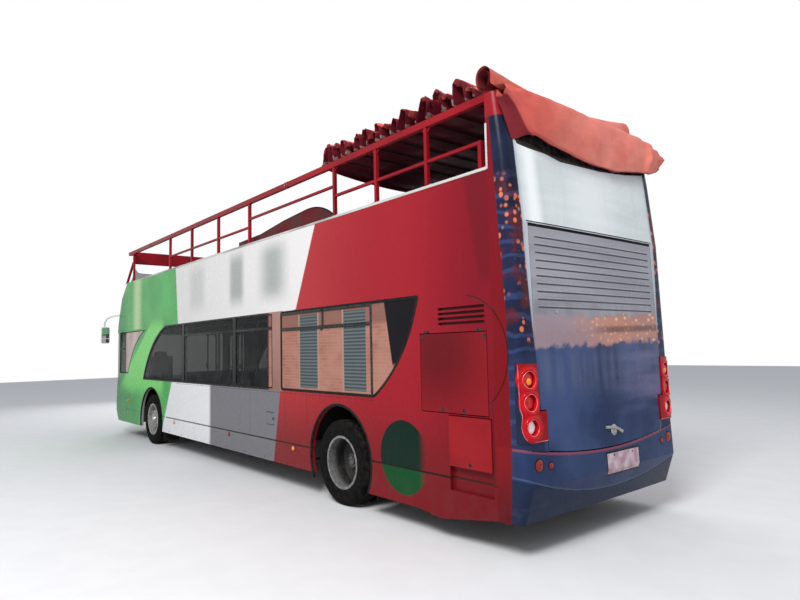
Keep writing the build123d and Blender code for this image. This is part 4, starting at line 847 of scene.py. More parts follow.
def end_reach(way, z):
    """Reach of the nose or the tail in the middle at a height."""
    table = ENDS[way][0]
    for (low_z, low_x), (high_z, high_x) in zip(table, table[1:]):
        if z <= high_z:
            break
    return low_x + (high_x - low_x) * (z - low_z) / (high_z - low_z)


def end_skin(way, y, z, out=0.0):
    """Point of the outer skin of the nose or the tail at a distance from the middle and a height."""
    _, corner, bulge = ENDS[way]
    tip = end_reach(way, z) + out
    round_r = corner + out
    face_y = 1.25 + out - round_r
    big_r = (face_y * face_y + bulge * bulge) / (2 * bulge)
    beyond = abs(y) - face_y
    if beyond <= 0:
        x = tip - big_r + math.sqrt(big_r * big_r - y * y)
    else:
        x = tip - bulge - round_r + math.sqrt(max(round_r * round_r - beyond * beyond, 0.0))
    return Vector((way * x, y, z))


def end_patch(mesh, way, outlines, lift, thick, pitch=0.08):
    """Adds a thin plate that follows the nose or the tail; its edge and its holes are in Y and Z."""
    flat = bmesh.new()
    plate_in(flat, outlines, lambda u, v, depth: (depth, u, v), (0.0, 1.0))
    for axis in (1, 2):
        places = [vertex.co[axis] for vertex in flat.verts]
        for step in range(math.ceil(min(places) / pitch), math.ceil(max(places) / pitch)):
            cut, along = Vector((0, 0, 0)), Vector((0, 0, 0))
            cut[axis], along[axis] = step * pitch, 1.0
            everything = flat.verts[:] + flat.edges[:] + flat.faces[:]
            bmesh.ops.bisect_plane(flat, geom=everything, plane_co=cut, plane_no=along)
    made = {}
    for vertex in flat.verts:
        depth, y, z = vertex.co
        made[vertex] = mesh.verts.new(end_skin(way, y, z, lift + thick * depth))
    for face in flat.faces:
        mesh.faces.new([made[vertex] for vertex in face.verts])
    flat.free()


def end_strip(mesh, way, path, half_width, lift, thick):
    """Adds a narrow strip along a path in Y and Z on the nose or the tail."""
    rings = []
    for i, (y, z) in enumerate(path):
        before, after = path[max(i - 1, 0)], path[min(i + 1, len(path) - 1)]
        run_y, run_z = after[0] - before[0], after[1] - before[1]
        scale = half_width / math.hypot(run_y, run_z)
        ring = []
        for edge, depth in ((1, 0), (1, 1), (-1, 1), (-1, 0)):
            ring.append(end_skin(way, y - edge * run_z * scale, z + edge * run_y * scale, lift + depth * thick))
        rings.append(ring)
    skin_rings(mesh, rings)


def level_line(half, z, steps):
    """Points at one height from -half to half."""
    return [(half * (2 * i / steps - 1), z) for i in range(steps + 1)]


def nose_colours(where):
    x, y, z = where.axes("XYZ")
    colour = side_colours(where)
    below = grade(z, 1.06, 0.90) * grade(x, 4.55, 4.95)
    colour = tint(below * 0.45, colour, (0.10, 0.28, 0.11))
    middle = grade(abs(y), 1.0, 0.6) * grade(x, 5.5, 5.8)
    return tint(middle * 0.5, colour, (0.06, 0.33, 0.085))


NOSE_PAINT = finish("nose_livery", gloss_paint(nose_colours, way=1.0), **WRAP_GLOSS)
coat(NOSE_PAINT, "front_lower", "front_upper", "bumper_front")

nose_rubber = bmesh.new()
low_screen = [(-1.17, 1.10), (1.17, 1.10), (1.17, 2.24), (-1.17, 2.24)]
end_patch(nose_rubber, 1, [rounded(low_screen, 0.10), rounded(widened(low_screen, -0.03), 0.09)], -0.002, 0.005)
end_strip(nose_rubber, 1, level_line(1.15, 2.80, 40), 0.016, -0.002, 0.006)
end_strip(nose_rubber, 1, level_line(1.10, 0.700, 40), 0.0035, -0.004, 0.0035)
driver_edge = [(5.40, 2.24)] + arc_points((3.64, 2.24), (4.37, 1.88), (4.79, 1.35), 24) + [(5.40, 1.35)]
outer, inner = rounded(widened(driver_edge, 0.006), 0.035), rounded(widened(driver_edge, -0.016), 0.03)
plate_in(nose_rubber, [outer, inner], on_side(1), (1.2425, 1.2512))
for side in (1, -1):
    box_in(nose_rubber, (4.878, side * 1.2485, 0.31), (4.884, side * 1.2502, 0.705))
piece("nose_glazing_rubber", nose_rubber, "bus", RUBBER)

driver_frame = bmesh.new()
box_in(driver_frame, (4.985, 1.243, 1.352), (5.011, 1.2525, 2.238), 0.003)
box_in(driver_frame, (5.02, 1.243, 1.865), (5.39, 1.2525, 1.889), 0.003)
piece("driver_window_bars", driver_frame, "bus", BAR_BLACK)


def bright_bowl(where):
    flutes = waves(where, 22.0, bands_direction="Y")
    return (
        tint(flutes, (0.72, 0.72, 0.72), (0.88, 0.88, 0.88)),
        grade(grain(where, 25.0), -0.2, 6.0),
        relief(flutes, 0.001),
    )


def clear_lens(where):
    haze = grain(where, 14.0, detail=7.0)
    return (
        tint(haze, (0.80, 0.82, 0.83), (0.66, 0.67, 0.66)),
        grade(haze, -0.2, 5.0),
        relief(grain(where, 8.0), 0.0004),
    )


BOWL = finish("bright_lamp_bowl", bright_bowl, Metallic=0.9)
HEADLAMPS = [(0.665, 0.070), (0.825, 0.070), (0.945, 0.042)]
bowls, bulbs, lamp_edges = bmesh.new(), bmesh.new(), bmesh.new()
for side in (1, -1):
    outline = [(side * 0.562, 0.762), (side * 0.998, 0.762), (side * 0.998, 0.958), (side * 0.562, 0.958)]
    outline = outline if side > 0 else outline[::-1]
    outer, inner = rounded(widened(outline, 0.006), 0.03), rounded(widened(outline, -0.008), 0.025)
    end_patch(lamp_edges, 1, [outer, inner], 0.0, 0.003)
    for lamp_y, lamp_r in HEADLAMPS:
        at = end_skin(1, side * lamp_y, 0.862, 0.0005)
        out = end_skin(1, side * lamp_y, 0.862, 0.1) - at
        ring = [(0.0, 1.0), (0.002, 1.0), (0.003, 0.93), (0.001, 0.86), (0.0012, 0.2)]
        turned_in(bowls, at, out, [(far, lamp_r * share) for far, share in ring], 32)
        bulb = [(0.0, 0.5), (0.003, 0.45), (0.006, 0.25), (0.007, 0.0)]
        turned_in(bulbs, at, out, [(far, lamp_r * share) for far, share in bulb], 20)
piece("headlamp_bowls", bowls, "bus", BOWL)
piece("headlamp_bulbs", bulbs, "bus", finish("lamp_glass", clear_lens, Coat_Weight=0.8))
piece("headlamp_edges", lamp_edges, "bus", RUBBER)

wipers, blades = bmesh.new(), bmesh.new()
for pivot_y, tip_y, tip_z in ((0.72, 0.10, 1.62), (-0.30, -0.86, 1.66)):
    pivot = end_skin(1, pivot_y, 1.045, 0.004)
    elbow = end_skin(1, pivot_y + (tip_y - pivot_y) * 0.35, 1.22, 0.014)
    tip = end_skin(1, tip_y, tip_z, 0.012)
    turned_in(wipers, pivot, (1, 0, 0), [(-0.02, 0.024), (0.012, 0.022), (0.016, 0.015), (0.017, 0.0)], 20)
    tube_in(wipers, [pivot + Vector((0.008, 0, 0)), elbow, tip], 0.006, 8)
    blade = [end_skin(1, tip_y + 0.20 * t, tip_z + 0.38 * t, 0.005) for t in (-1, -0.5, 0, 0.5, 1)]
    tube_in(blades, blade, 0.005, 6)
for point in [vertex for mesh in (wipers, blades) for vertex in mesh.verts]:
    point.co.x = min(point.co.x, 5.998)
piece("wiper_arms", wipers, "bus", BAR_BLACK)
piece("wiper_blades", blades, "bus", RUBBER)

blind = bmesh.new()
blind_edge = rounded([(-0.86, 2.335), (0.86, 2.335), (0.86, 2.525), (-0.86, 2.525)], 0.03)
end_patch(blind, 1, [blind_edge], 0.0005, 0.0015)
end_patch(blind, 1, [rounded([(-0.26, 0.42), (0.26, 0.42), (0.26, 0.53), (-0.26, 0.53)], 0.01)], 0.001, 0.003)
piece("blank_route_blind", blind, "bus", BLACK_PRINT_AND_SHADOW)
nose_grille = bmesh.new()
for row in range(5):
    end_strip(nose_grille, 1, level_line(0.42, 0.575 + row * 0.022, 16), 0.005, -0.0005, 0.0025)
piece("nose_air_slots", nose_grille, "bus", RUBBER)


# Trim strips of the upper deck.
# Folded aluminium caps the side panels and runs up the rear end, rubbed grey by hands and weather.
def rubbed_aluminium(where):
    rub = grain(where, 7.0, detail=10.0, stretch=(5.0, 1.0, 1.0))
    return (
        tint(rub, (0.62, 0.61, 0.58), (0.36, 0.35, 0.33)),
        grade(rub, -0.9, 1.8),
        relief(grain(where, 120.0, stretch=(9.0, 1.0, 1.0)), 0.0003),
    )


ALUMINIUM = finish("rubbed_aluminium", rubbed_aluminium, Metallic=0.55)
caps = bmesh.new()
for side in (1, -1):
    face_y = side * 1.2535
    box_in(caps, (-5.655, side * 1.197, 3.329), (4.148, face_y, 3.334), 0.0015)
    box_in(caps, (-5.655, side * SKIN_Y, 3.306), (4.148, face_y, 3.333), 0.0015)
    box_in(caps, (-5.676, side * 1.247, 3.31), (-5.654, face_y, 3.72), 0.002)
    tube_in(caps, [(x, side * 1.222, 3.331) for x in (5.24, 5.15, 4.09)], 0.006, 8)
piece("parapet_caps", caps, "bus", ALUMINIUM)


# Rear end, hatch and rear bumper.
# Glass fibre mouldings wrapped in a picture film: silver above, grey ribs, a bright band and deep blue below.
# The film is a plain design of bands and scattered lights; the number plate and every label place are blank.
def scattered(where, pitch, stretch, low, high):
    """1 in soft round dots of uneven size and place."""
    spread = where.node("Mapping", Vector=where, Scale=[1 / (pitch * part) for part in stretch])
    cells = where.node("TexVoronoi", out="Distance", Vector=spread, Scale=1.0, Randomness=0.75)
    return grade(cells, high, low)


RIBS = {"first_z": 2.080, "pitch": 0.068, "height": 0.014}


def rear_colours(where):
    x, y, z = where.axes("XYZ")
    off = abs(y)
    cloud = grain(where, 1.6, detail=4.0, low=0.3, high=0.7)
    smear = grain(where, 3.0, detail=6.0, stretch=(1.0, 4.0, 0.4), low=0.3, high=0.7)
    streak = grain(where, 2.5, detail=5.0, stretch=(1.0, 0.35, 4.0), low=0.3, high=0.7)

    blue = tint(cloud, (0.016, 0.032, 0.088), (0.050, 0.080, 0.19))
    violet = grade(y, 0.2, -0.9) * between(z, 1.1, 1.75, 0.4) * smear
    blue = tint(violet * 0.6, blue, (0.22, 0.20, 0.34))
    ripple = between(z, 1.35, 1.72, 0.25) * streak
    blue = tint(ripple * 0.5, blue, (0.12, 0.14, 0.24))

    low_edge = y * -0.022 + 1.765
    high_edge = y * -0.022 + 2.018
    wobble = (grain(where, 7.0, detail=6.0) - 0.5) * 0.05
    in_band = grade(z + wobble - low_edge, -0.02, 0.03)
    above_band = grade(z + wobble - high_edge, -0.01, 0.02)
    lights = scattered(where, 0.085, (1.0, 1.0, 0.6), 0.16, 0.42) * grade(y, 0.7, -0.5)
    glow = tint(grade(y, 0.75, -0.3), (0.34, 0.27, 0.31), (0.60, 0.26, 0.17))
    glow = tint(smear * 0.6, glow, (0.30, 0.20, 0.22))
    band = tint(lights, glow, (0.85, 0.52, 0.28))
    shore = between(z - low_edge, 0.10, 0.16, 0.04)
    band = tint(shore * grade(y, 0.3, -0.2) * 0.7, band, (0.09, 0.05, 0.06))

    grey = tint(smear, (0.265, 0.265, 0.30), (0.35, 0.35, 0.39))
    rib = calc("FRACT", (z - RIBS["first_z"]) / RIBS["pitch"])
    shadow = between(rib, 0.02, RIBS["height"] / RIBS["pitch"], 0.05)
    gleam = between(rib, 0.26, 0.36, 0.10)
    ribbed = between(z, RIBS["first_z"] - 0.01, 2.74, 0.004) * grade(off, 0.97, 0.96)
    grey = tint(shadow * ribbed * 0.7, grey, (0.075, 0.075, 0.09))
    grey = tint(gleam * ribbed * 0.5, grey, (0.42, 0.42, 0.46))
    dim = between(z, 2.0, 2.15, 0.1) * streak * 0.5
    grey = tint(dim, grey, (0.20, 0.19, 0.23))
    picture = tint(in_band, blue, band)
    picture = tint(above_band, picture, grey)

    silver = tint(smear, (0.60, 0.645, 0.65), (0.70, 0.74, 0.745))
    grime = grain(where, 3.0, detail=5.0, stretch=(1.0, 0.35, 4.0), low=0.45, high=0.8)
    silver = tint(grime * 0.25, silver, (0.36, 0.39, 0.40))
    gleam = between(y, 0.84, 1.00, 0.14) + between(y, -0.35, 0.30, 0.5) * 0.5
    silver = tint(gleam, silver, (0.86, 0.89, 0.89))
    pane = grade(z, 2.80, 2.83)
    picture = tint(pane, picture, silver)
    surround = tint(grade(z, 1.9, 2.3), (0.15, 0.18, 0.27), (0.50, 0.53, 0.58))
    beside = grade(off, 1.035, 1.045) * grade(z, 1.8, 2.2)
    picture = tint(beside * (1.0 - pane), picture, surround)

    night = tint(cloud, (0.006, 0.007, 0.018), (0.014, 0.020, 0.055))
    swirls = where.node(
        "TexWave", out="Fac", settings={"bands_direction": "Z"},
        Vector=where, Scale=2.1, Distortion=6.0, Detail=3.0,
    )
    swirls = grade(swirls, 0.72, 0.95) * grade(z, 3.35, 3.05)
    night = tint(swirls * 0.4, night, (0.040, 0.075, 0.20))
    ember = between(z, 1.9, 3.15, 0.3) * grain(where, 6.0, detail=4.0, low=0.45, high=0.62)
    night = tint(ember * 0.75, night, (0.10, 0.014, 0.016))
    lamps_at = scattered(where, 0.064, (1.0, 1.0, 1.2), 0.22, 0.40) * between(z, 1.68, 3.20, 0.15)
    clusters = grain(where, 3.0, detail=2.0, stretch=(1.0, 1.0, 0.7), low=0.40, high=0.50)
    lamps_at = lamps_at * clusters
    night = tint(lamps_at, night, (0.60, 0.16, 0.08))
    column_edge = calc("MINIMUM", z - 1.72, 0.9) * 0.062 + 1.045
    from_column = off - column_edge
    on_column = grade(from_column, -0.006, 0.006)
    low_night = grade(z, 1.75, 1.60) * 0.25
    night = tint(low_night, night, (0.045, 0.07, 0.17))
    picture = tint(on_column, picture, night)
    # A pale line just inside the column's edge is a painted highlight.
    painted_edge_highlight = between(from_column, -0.030, 0.004, 0.02) * grade(z, 1.8, 2.0)
    picture = tint(painted_edge_highlight * 0.6, picture, (0.42, 0.45, 0.52))

    red = tint(grade(z, 0.9, 3.4), (0.17, 0.005, 0.008), (0.16, 0.005, 0.011))
    lean = calc("MAXIMUM", z - 2.05, 0.0) * 0.055
    back = (z - 0.75) * 0.012 + lean - 5.834
    on_side_part = grade(x - back, -0.004, 0.004)
    picture = tint(on_side_part, picture, red)
    seams = side_seams(where)
    picture = tint(seams * 0.85, picture, (0.02, 0.004, 0.005))
    high = grade(z, 3.76, 3.78) * grade(from_column, -0.02, 0.0)
    return tint(high, picture, (0.24, 0.010, 0.016))


FILM_GLOSS = {"Specular_IOR_Level": 0.08, "Coat_Weight": 0.02, "Coat_Roughness": 0.5}
REAR_PAINT = finish("rear_livery", gloss_paint(rear_colours, way=-1.0), **FILM_GLOSS)
coat(REAR_PAINT, "rear_frame", "rear_hatch")


def bumper_colours(where):
    x, y, z = where.axes("XYZ")
    cloud = grain(where, 1.6, detail=4.0, low=0.3, high=0.7)
    blue = tint(cloud, (0.016, 0.032, 0.090), (0.034, 0.060, 0.145))
    off = y + 0.12
    step = z - (off * off * 0.13 + 0.425)
    # Darker blue below the step is painted shade under it, and the lighter strip just above is a painted
    # highlight on the crease.
    blue = tint(grade(step, 0.0, -0.012), blue, (0.010, 0.020, 0.052))
    blue = tint(between(step, 0.006, 0.020, 0.008) * 0.5, blue, (0.09, 0.12, 0.20))
    # A reddish band just under the top edge is a painted highlight along the edge.
    top_edge = z - (y * y * 0.077 + 0.800)
    blue = tint(grade(top_edge, -0.028, -0.014) * 0.6, blue, (0.34, 0.06, 0.09))
    scrape = grain(where, 6.0, detail=11.0, stretch=(1.0, 3.0, 0.5), low=0.58, high=0.72) * grade(z, 0.60, 0.40)
    blue = tint(scrape * 0.18, blue, (0.12, 0.12, 0.16))
    mud = grain(where, 11.0, detail=9.0)
    blank = tint(mud, (0.58, 0.47, 0.50), (0.40, 0.24, 0.29))
    holder = between(y, -0.475, 0.115, 0.006) * between(z, 0.545, 0.765, 0.006)
    plate = between(y, -0.458, 0.098, 0.004) * between(z, 0.562, 0.748, 0.004)
    for screw_y in (-0.34, -0.02):
        screw = grade(from_point(y, z, (screw_y, 0.725)), 0.009, 0.011)
        plate = plate * screw
    blue = tint(holder, blue, (0.010, 0.010, 0.011))
    blue = tint(plate, blue, blank)
    red = tint(grade(z, 0.3, 0.9), (0.10, 0.003, 0.006), (0.19, 0.006, 0.009))
    back = (z - 0.36) * -0.047 - 5.808
    return tint(grade(x - back, -0.004, 0.004), blue, red)


coat(finish("rear_bumper_livery", gloss_paint(bumper_colours, way=-1.0), **WRAP_GLOSS), "bumper_rear")


bumper_lines = bmesh.new()
groove = [(-1.16 + 2.32 * i / 48, 0.425 + 0.13 * (-1.04 + 2.32 * i / 48) ** 2) for i in range(49)]
end_strip(bumper_lines, -1, groove, 0.0035, -0.0005, 0.0020)
for side in (-1, 1):
    joint = [side * (0.955 + 0.245 * i / 6) for i in range(7)][::side]
    end_strip(bumper_lines, -1, [(y, 0.800 + 0.077 * y ** 2) for y in joint], 0.004, -0.0005, 0.0020)
piece("bumper_grooves", bumper_lines, "bus", BLACK_PRINT_AND_SHADOW)


# Rear lamps.
# One red plastic housing on each corner holds three round lenses: turn, brake and clear reversing lamp.
# Round fog lamps and reflectors sit in the bumper; every lens has moulded rings.
LAMP_CENTRES = [(1.146, 1.479), (1.143, 1.291), (1.133, 1.087)]
SCALLOP = 0.196


def round_corner(x, off):
    """Distance around the bus's corner, which grows from the middle of the tail to the side."""
    return 0.642 * x + 0.767 * off


def lamp_edge(z):
    """Outer edge of the red housing, a distance round the corner: bulged at each lamp, rounded at its foot."""
    bulge = 0.008 * (math.cos(2 * math.pi * (z - LAMP_CENTRES[0][1]) / SCALLOP) - 1)
    foot = max(0.0, 1.03 - z) / 0.06
    return -2.824 - 0.09 * max(0.0, LAMP_CENTRES[0][1] - z) + bulge - 0.04 * foot * foot


def housing_red(where):
    y, z = where.axes("YZ")
    off = abs(y)
    dirt = grain(where, 9.0, detail=8.0)
    near = 1.0
    for centre in LAMP_CENTRES:
        near = calc("MINIMUM", near, from_point(off, z, centre))
    # Lighter red close round each lens and darker between the lenses: painted highlight and painted shade on
    # the moulding.
    red = tint(grade(near, 0.085, 0.135), (0.56, 0.004, 0.010), (0.26, 0.002, 0.006))
    red = tint(dirt * 0.3, red, (0.34, 0.004, 0.010))
    turn = (z - LAMP_CENTRES[0][1]) * (2 * math.pi / SCALLOP)
    bulge = (calc("COSINE", turn) - 1.0) * 0.008
    drift = calc("MAXIMUM", LAMP_CENTRES[0][1] - z, 0.0) * -0.09
    foot = calc("MAXIMUM", 1.03 - z, 0.0) / 0.06
    edge = bulge + drift + foot * foot * -0.04
    x = where.axis("X")
    around = x * 0.642 + off * 0.767
    outside = grade(around - (edge - 2.824), -0.001, 0.002)
    outside = outside * grade(x, 0.0, -1.0)
    rear = tint(outside, red, (0.010, 0.016, 0.040))
    front = tint(dirt, (0.045, 0.047, 0.050), (0.09, 0.088, 0.084))
    return (
        tint(grade(x, -1.0, 1.0), rear, front),
        grade(dirt, -0.3, 4.0),
        relief(grade(near, 0.14, 0.07), 0.006),
    )


# Pale red of the thin beads round the lenses and along the housing's edge: painted highlights on those rims.
def painted_highlight_red(where):
    dirt = grain(where, 14.0, detail=8.0)
    return (
        tint(dirt, (0.80, 0.22, 0.20), (0.52, 0.06, 0.06)),
        grade(dirt, -0.3, 3.0),
        relief(grain(where, 70.0), 0.0002),
    )


HOUSING_RED = finish(
    "lamp_housing_red", housing_red, Specular_IOR_Level=0.12, Coat_Weight=0.06, Coat_Roughness=0.05
)
coat(HOUSING_RED, "lamps")
HOUSING_HIGHLIGHT = finish(
    "lamp_housing_painted_highlight", painted_highlight_red, Specular_IOR_Level=0.3, Coat_Weight=0.3, Coat_Roughness=0.04
)


def ringed_lens(dark, light, centre):
    def build(where):
        y, z = where.axes("YZ")
        reach = from_point(abs(y), z, centre)
        rings = calc("SINE", reach * 700.0) * 0.5 + 0.5
        return tint(rings * 0.6, light, dark), grade(grain(where, 50.0), -0.2, 5.0), relief(rings, 0.0008)

    return build


LENSES = [
    ("turn", *LAMP_CENTRES[0], 0.060, (0.36, 0.003, 0.006), (0.68, 0.012, 0.010)),
    ("brake", *LAMP_CENTRES[1], 0.060, (0.34, 0.002, 0.006), (0.66, 0.006, 0.014)),
    ("reversing", *LAMP_CENTRES[2], 0.056, (0.72, 0.66, 0.64), (0.97, 0.95, 0.92)),
]
LENS_GLOSS = {"Specular_IOR_Level": 0.25, "Coat_Weight": 0.25, "Coat_Roughness": 0.03}
LENS_DOME = [(0.0, 1.0), (0.004, 0.96), (0.008, 0.84), (0.011, 0.6), (0.0125, 0.3), (0.013, 0.0)]
TURN_BULB = [(0.0, 0.030), (0.004, 0.027), (0.006, 0.016), (0.007, 0.0)]
RING_STEPS = 40


def ring_on_tail(side, lens_y, lens_z, radius, out):
    """Circle that follows the tail at a distance from it."""
    turns = [2 * math.pi * i / RING_STEPS for i in range(RING_STEPS)]
    circle = [(side * (lens_y + radius * math.cos(t)), lens_z + radius * math.sin(t)) for t in turns]
    return [end_skin(-1, y, z, out) for y, z in circle]


# Thin pale beads round each lens and along the housing's outer edge stand for painted highlights.
highlight_beads, rings = bmesh.new(), bmesh.new()
for name, lens_y, lens_z, lens_r, dark, light in LENSES:
    lens_mesh = bmesh.new()
    for side in (1, -1):
        dome = [(far, lens_r * share) for far, share in LENS_DOME]
        turned_in(lens_mesh, (-5.9402, side * lens_y, lens_z), (-1, 0, 0), dome, 40)
        tube_in(highlight_beads, ring_on_tail(side, lens_y, lens_z, lens_r + 0.012, 0.0115), 0.0035, 8, closed=True)
        tube_in(rings, ring_on_tail(side, lens_y, lens_z, lens_r + 0.030, 0.007), 0.011, 10, closed=True)
    lens_finish = finish("lens_" + name, ringed_lens(dark, light, (lens_y, lens_z)), **LENS_GLOSS)
    piece("rear_lens_" + name, lens_mesh, "bus", lens_finish)
    if name == "turn":
        bulb = bmesh.new()
        for side in (1, -1):
            turned_in(bulb, (-5.9515, side * lens_y, lens_z - 0.014), (-1, 0, 0), TURN_BULB, 28)
        piece("rear_lens_turn_bulb", bulb, "bus", AMBER_LENS)
for side in (1, -1):
    border = []
    for i in range(50):
        edge_z = 1.604 - 0.0125 * i
        places = [end_skin(-1, side * (1.05 + 0.0025 * step), edge_z, 0.0100) for step in range(78)]
        border.append([at for at in places if round_corner(at.x, abs(at.y)) <= lamp_edge(edge_z)][-1])
    border += [end_skin(-1, side * y, 0.970, 0.0100) for y in (1.12, 1.05, 0.963)]
    tube_in(highlight_beads, border, 0.0035, 8)
piece("rear_lamp_rings", rings, "bus", HOUSING_RED)
piece("rear_lens_highlight_beads", highlight_beads, "bus", HOUSING_HIGHLIGHT)

fog, fog_rims = bmesh.new(), bmesh.new()
for side in (1, -1):
    for fog_y, fog_z, fog_r in ((1.085, 0.777, 0.050), (0.935, 0.757, 0.028)):
        at = end_skin(-1, side * fog_y, fog_z, -0.003)
        out = end_skin(-1, side * fog_y, fog_z, 0.1) - at
        dome = [(0.0, 1.0), (0.006, 0.97), (0.011, 0.8), (0.015, 0.45), (0.016, 0.0)]
        turned_in(fog, at, out, [(far, fog_r * share) for far, share in dome], 32)
        turned_in(fog_rims, at, out, [(0.0, fog_r + 0.009), (0.004, fog_r + 0.008), (0.006, fog_r + 0.001)], 32)
for mesh in (fog, fog_rims):
    for vertex in mesh.verts:
        vertex.co.x = max(vertex.co.x, -5.9998)
piece("rear_fog_lamps", fog, "bus", DARK_RED_LENS)
piece("rear_fog_rims", fog_rims, "bus", RUBBER)


# Hatch fittings.
# A cast pull handle with its lock, rubber strips at the top hinge and under the silver panel.
# A black band over the top edge of the rear wall is partly the black window frame and partly painted shadow
# under the hanging curtain.
handle, seal_and_gap_shadow = bmesh.new(), bmesh.new()
grip = end_skin(-1, -0.05, 0.955, 0.0)
GRIP_ROSE = [(0.0, 0.052), (0.003, 0.052), (0.006, 0.046), (0.008, 0.028), (0.009, 0.0)]
turned_in(handle, grip, (-1, 0, 0.03), GRIP_ROSE, 30)
lever = [(0.10, 0.990), (0.0, 0.985), (-0.10, 0.965), (-0.19, 0.925)]
tube_in(handle, [end_skin(-1, y, z, 0.008) for y, z in lever], 0.014, 10)
LOCK_PROFILE = [(0.0, 0.016), (0.004, 0.015), (0.005, 0.006), (0.006, 0.0)]
turned_in(handle, end_skin(-1, 0.72, 2.052, -0.001), (-1, 0, 0.03), LOCK_PROFILE, 18)
for vertex in handle.verts:
    vertex.co.x = max(vertex.co.x, -5.9990)
piece("hatch_handle", handle, "rear_hatch", BRIGHT_METAL)
# The strip at the top hinge is drawn wide so that it also stands for the shadow in the gap: painted shadow.
end_strip(seal_and_gap_shadow, -1, level_line(1.038, 2.8045, 24), 0.016, -0.020, 0.012)
piece("hatch_top_seal_and_shadow", seal_and_gap_shadow, "bus", RUBBER)
pane_edges = bmesh.new()
end_strip(pane_edges, -1, level_line(1.06, 2.832, 24), 0.004, -0.001, 0.0035)
piece("rear_pane_trim", pane_edges, "bus", RUBBER)
# Black band under the curtain's hem: the window frame's top and painted shadow.
top_frame_and_shadow = bmesh.new()
band_low = [
    (-1.10, 3.600), (-0.70, 3.535), (-0.22, 3.487), (0.452, 3.466), (0.67, 3.503), (0.908, 3.513),
    (1.066, 3.528),
]
end_patch(top_frame_and_shadow, -1, [rounded([*band_low, (1.09, 3.72), (-1.10, 3.74)], 0.02)], 0.0, 0.0015)
piece("rear_top_frame_and_painted_shadow", top_frame_and_shadow, "bus", BLACK_PRINT_AND_SHADOW)


# Passenger doors of the right side.
# Each leaf is a black enamelled aluminium frame round tinted safety glass, with a finger seal at its edge.
# A yellow handle runs across the inside of each pane.
DOOR_LEAVES = [
    ("front_door", 4.258, 5.192, -1), ("middle_door_rear", -0.892, -0.279, 1),
    ("middle_door_front", -0.271, 0.342, -1),
]
DOOR_LOW_Z, DOOR_HIGH_Z = 0.330, 2.222


def tinted(tint_low, tint_high):
    def build(where):
        film = grain(where, 5.0, detail=9.0)
        z = where.axis("Z")
        dust = (grade(z, 2.2, 1.2) * 0.5 + 0.25) * film
        return tint(dust, tint_low, tint_high), grade(dust, -0.06, 6.0), relief(grain(where, 1.2), 0.0015)

    return build


DOOR_GLASS = finish(
    "tinted_door_glass", tinted((0.018, 0.022, 0.022), (0.09, 0.09, 0.085)), Alpha=0.55, IOR=1.5
)


def enamel(dark, worn, gloss):
    def build(where):
        wear = grain(where, 28.0, detail=10.0, low=0.5, high=0.75)
        dust = grain(where, 4.0, detail=7.0)
        colour = tint(dust * 0.35, dark, worn)
        return tint(wear * 0.5, colour, worn), wear * 0.25 + gloss, relief(grain(where, 110.0), 0.0004)

    return build


YELLOW = finish("yellow_grab_pole", enamel((0.78, 0.47, 0.02), (0.52, 0.34, 0.06), 0.3), Coat_Weight=0.2)
for name, rear_x, fore_x, closing in DOOR_LEAVES:
    leaf, pane, grip = bmesh.new(), bmesh.new(), bmesh.new()
    edge = rounded(box_outline((rear_x, fore_x), (DOOR_LOW_Z, DOOR_HIGH_Z)), 0.012)
    sight_outline = box_outline((rear_x + 0.045, fore_x - 0.045), (DOOR_LOW_Z + 0.07, DOOR_HIGH_Z - 0.06))
    plate_in(leaf, [edge, rounded(sight_outline, 0.05)], on_side(-1), (1.2105, SKIN_Y))
    seal_x = fore_x if closing > 0 else rear_x
    seal_foot = (seal_x - 0.004, -1.243, DOOR_LOW_Z + 0.01)
    box_in(leaf, seal_foot, (seal_x + 0.004, -1.217, DOOR_HIGH_Z - 0.01), 0.002)
    plate_in(pane, [rounded(widened(sight_outline, 0.004), 0.05)], on_side(-1), (1.2265, 1.2335))
    low_x, high_x = rear_x + 0.075, fore_x - 0.075
    bar = [(low_x, -1.212, 0.78), (low_x, -1.168, 0.78), (high_x, -1.168, 1.26), (high_x, -1.212, 1.26)]
    tube_in(grip, bar, 0.014, 10)
    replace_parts(piece(name + "_frame", leaf, name, BAR_BLACK), name)
    piece(name + "_glass", pane, name, DOOR_GLASS, smooth=False)
    piece(name + "_handle", grip, name, YELLOW)


# Lower deck: floor, steps, poles and ceiling lamps.
# Screwed plywood under speckled grey vinyl; the steel poles and the step nosings are powder-coated yellow.
def speckled_vinyl(where):
    chips = where.node("TexVoronoi", out="Distance", Vector=where, Scale=190.0)
    fleck = grade(chips, 0.25, 0.12)
    trodden = grain(where, 2.5, detail=8.0)
    base = tint(trodden, (0.105, 0.105, 0.108), (0.165, 0.155, 0.145))
    return tint(fleck, base, (0.34, 0.34, 0.33)), grade(trodden, -1.6, 1.2), relief(chips, 0.0006)


VINYL = finish("speckled_vinyl", speckled_vinyl)
coat(VINYL, "lower_floor", "stairs", "upper_floor")
coat(YELLOW, "grab_poles")

nosings, ceiling_lamps, pole_fittings = bmesh.new(), bmesh.new(), bmesh.new()
for step in range(1, 9):
    tread_z = 0.42 + step * 0.22
    tread_x = -3.05 + (9 - step) * 0.215
    box_in(nosings, (tread_x - 0.035, 0.48, tread_z - 0.001), (tread_x + 0.003, 1.09, tread_z + 0.003), 0.001)
box_in(nosings, (-2.335, -1.18, 0.749), (-2.297, 1.18, 0.7535), 0.001)
piece("step_nosings", nosings, "bus", YELLOW)


def lamp_diffuser(where):
    ribs = waves(where, 60.0, bands_direction="Y")
    return (
        tint(ribs, (0.74, 0.74, 0.70), (0.86, 0.86, 0.83)),
        grade(grain(where, 20.0), -2.0, 3.0),
        relief(ribs, 0.0005),
    )


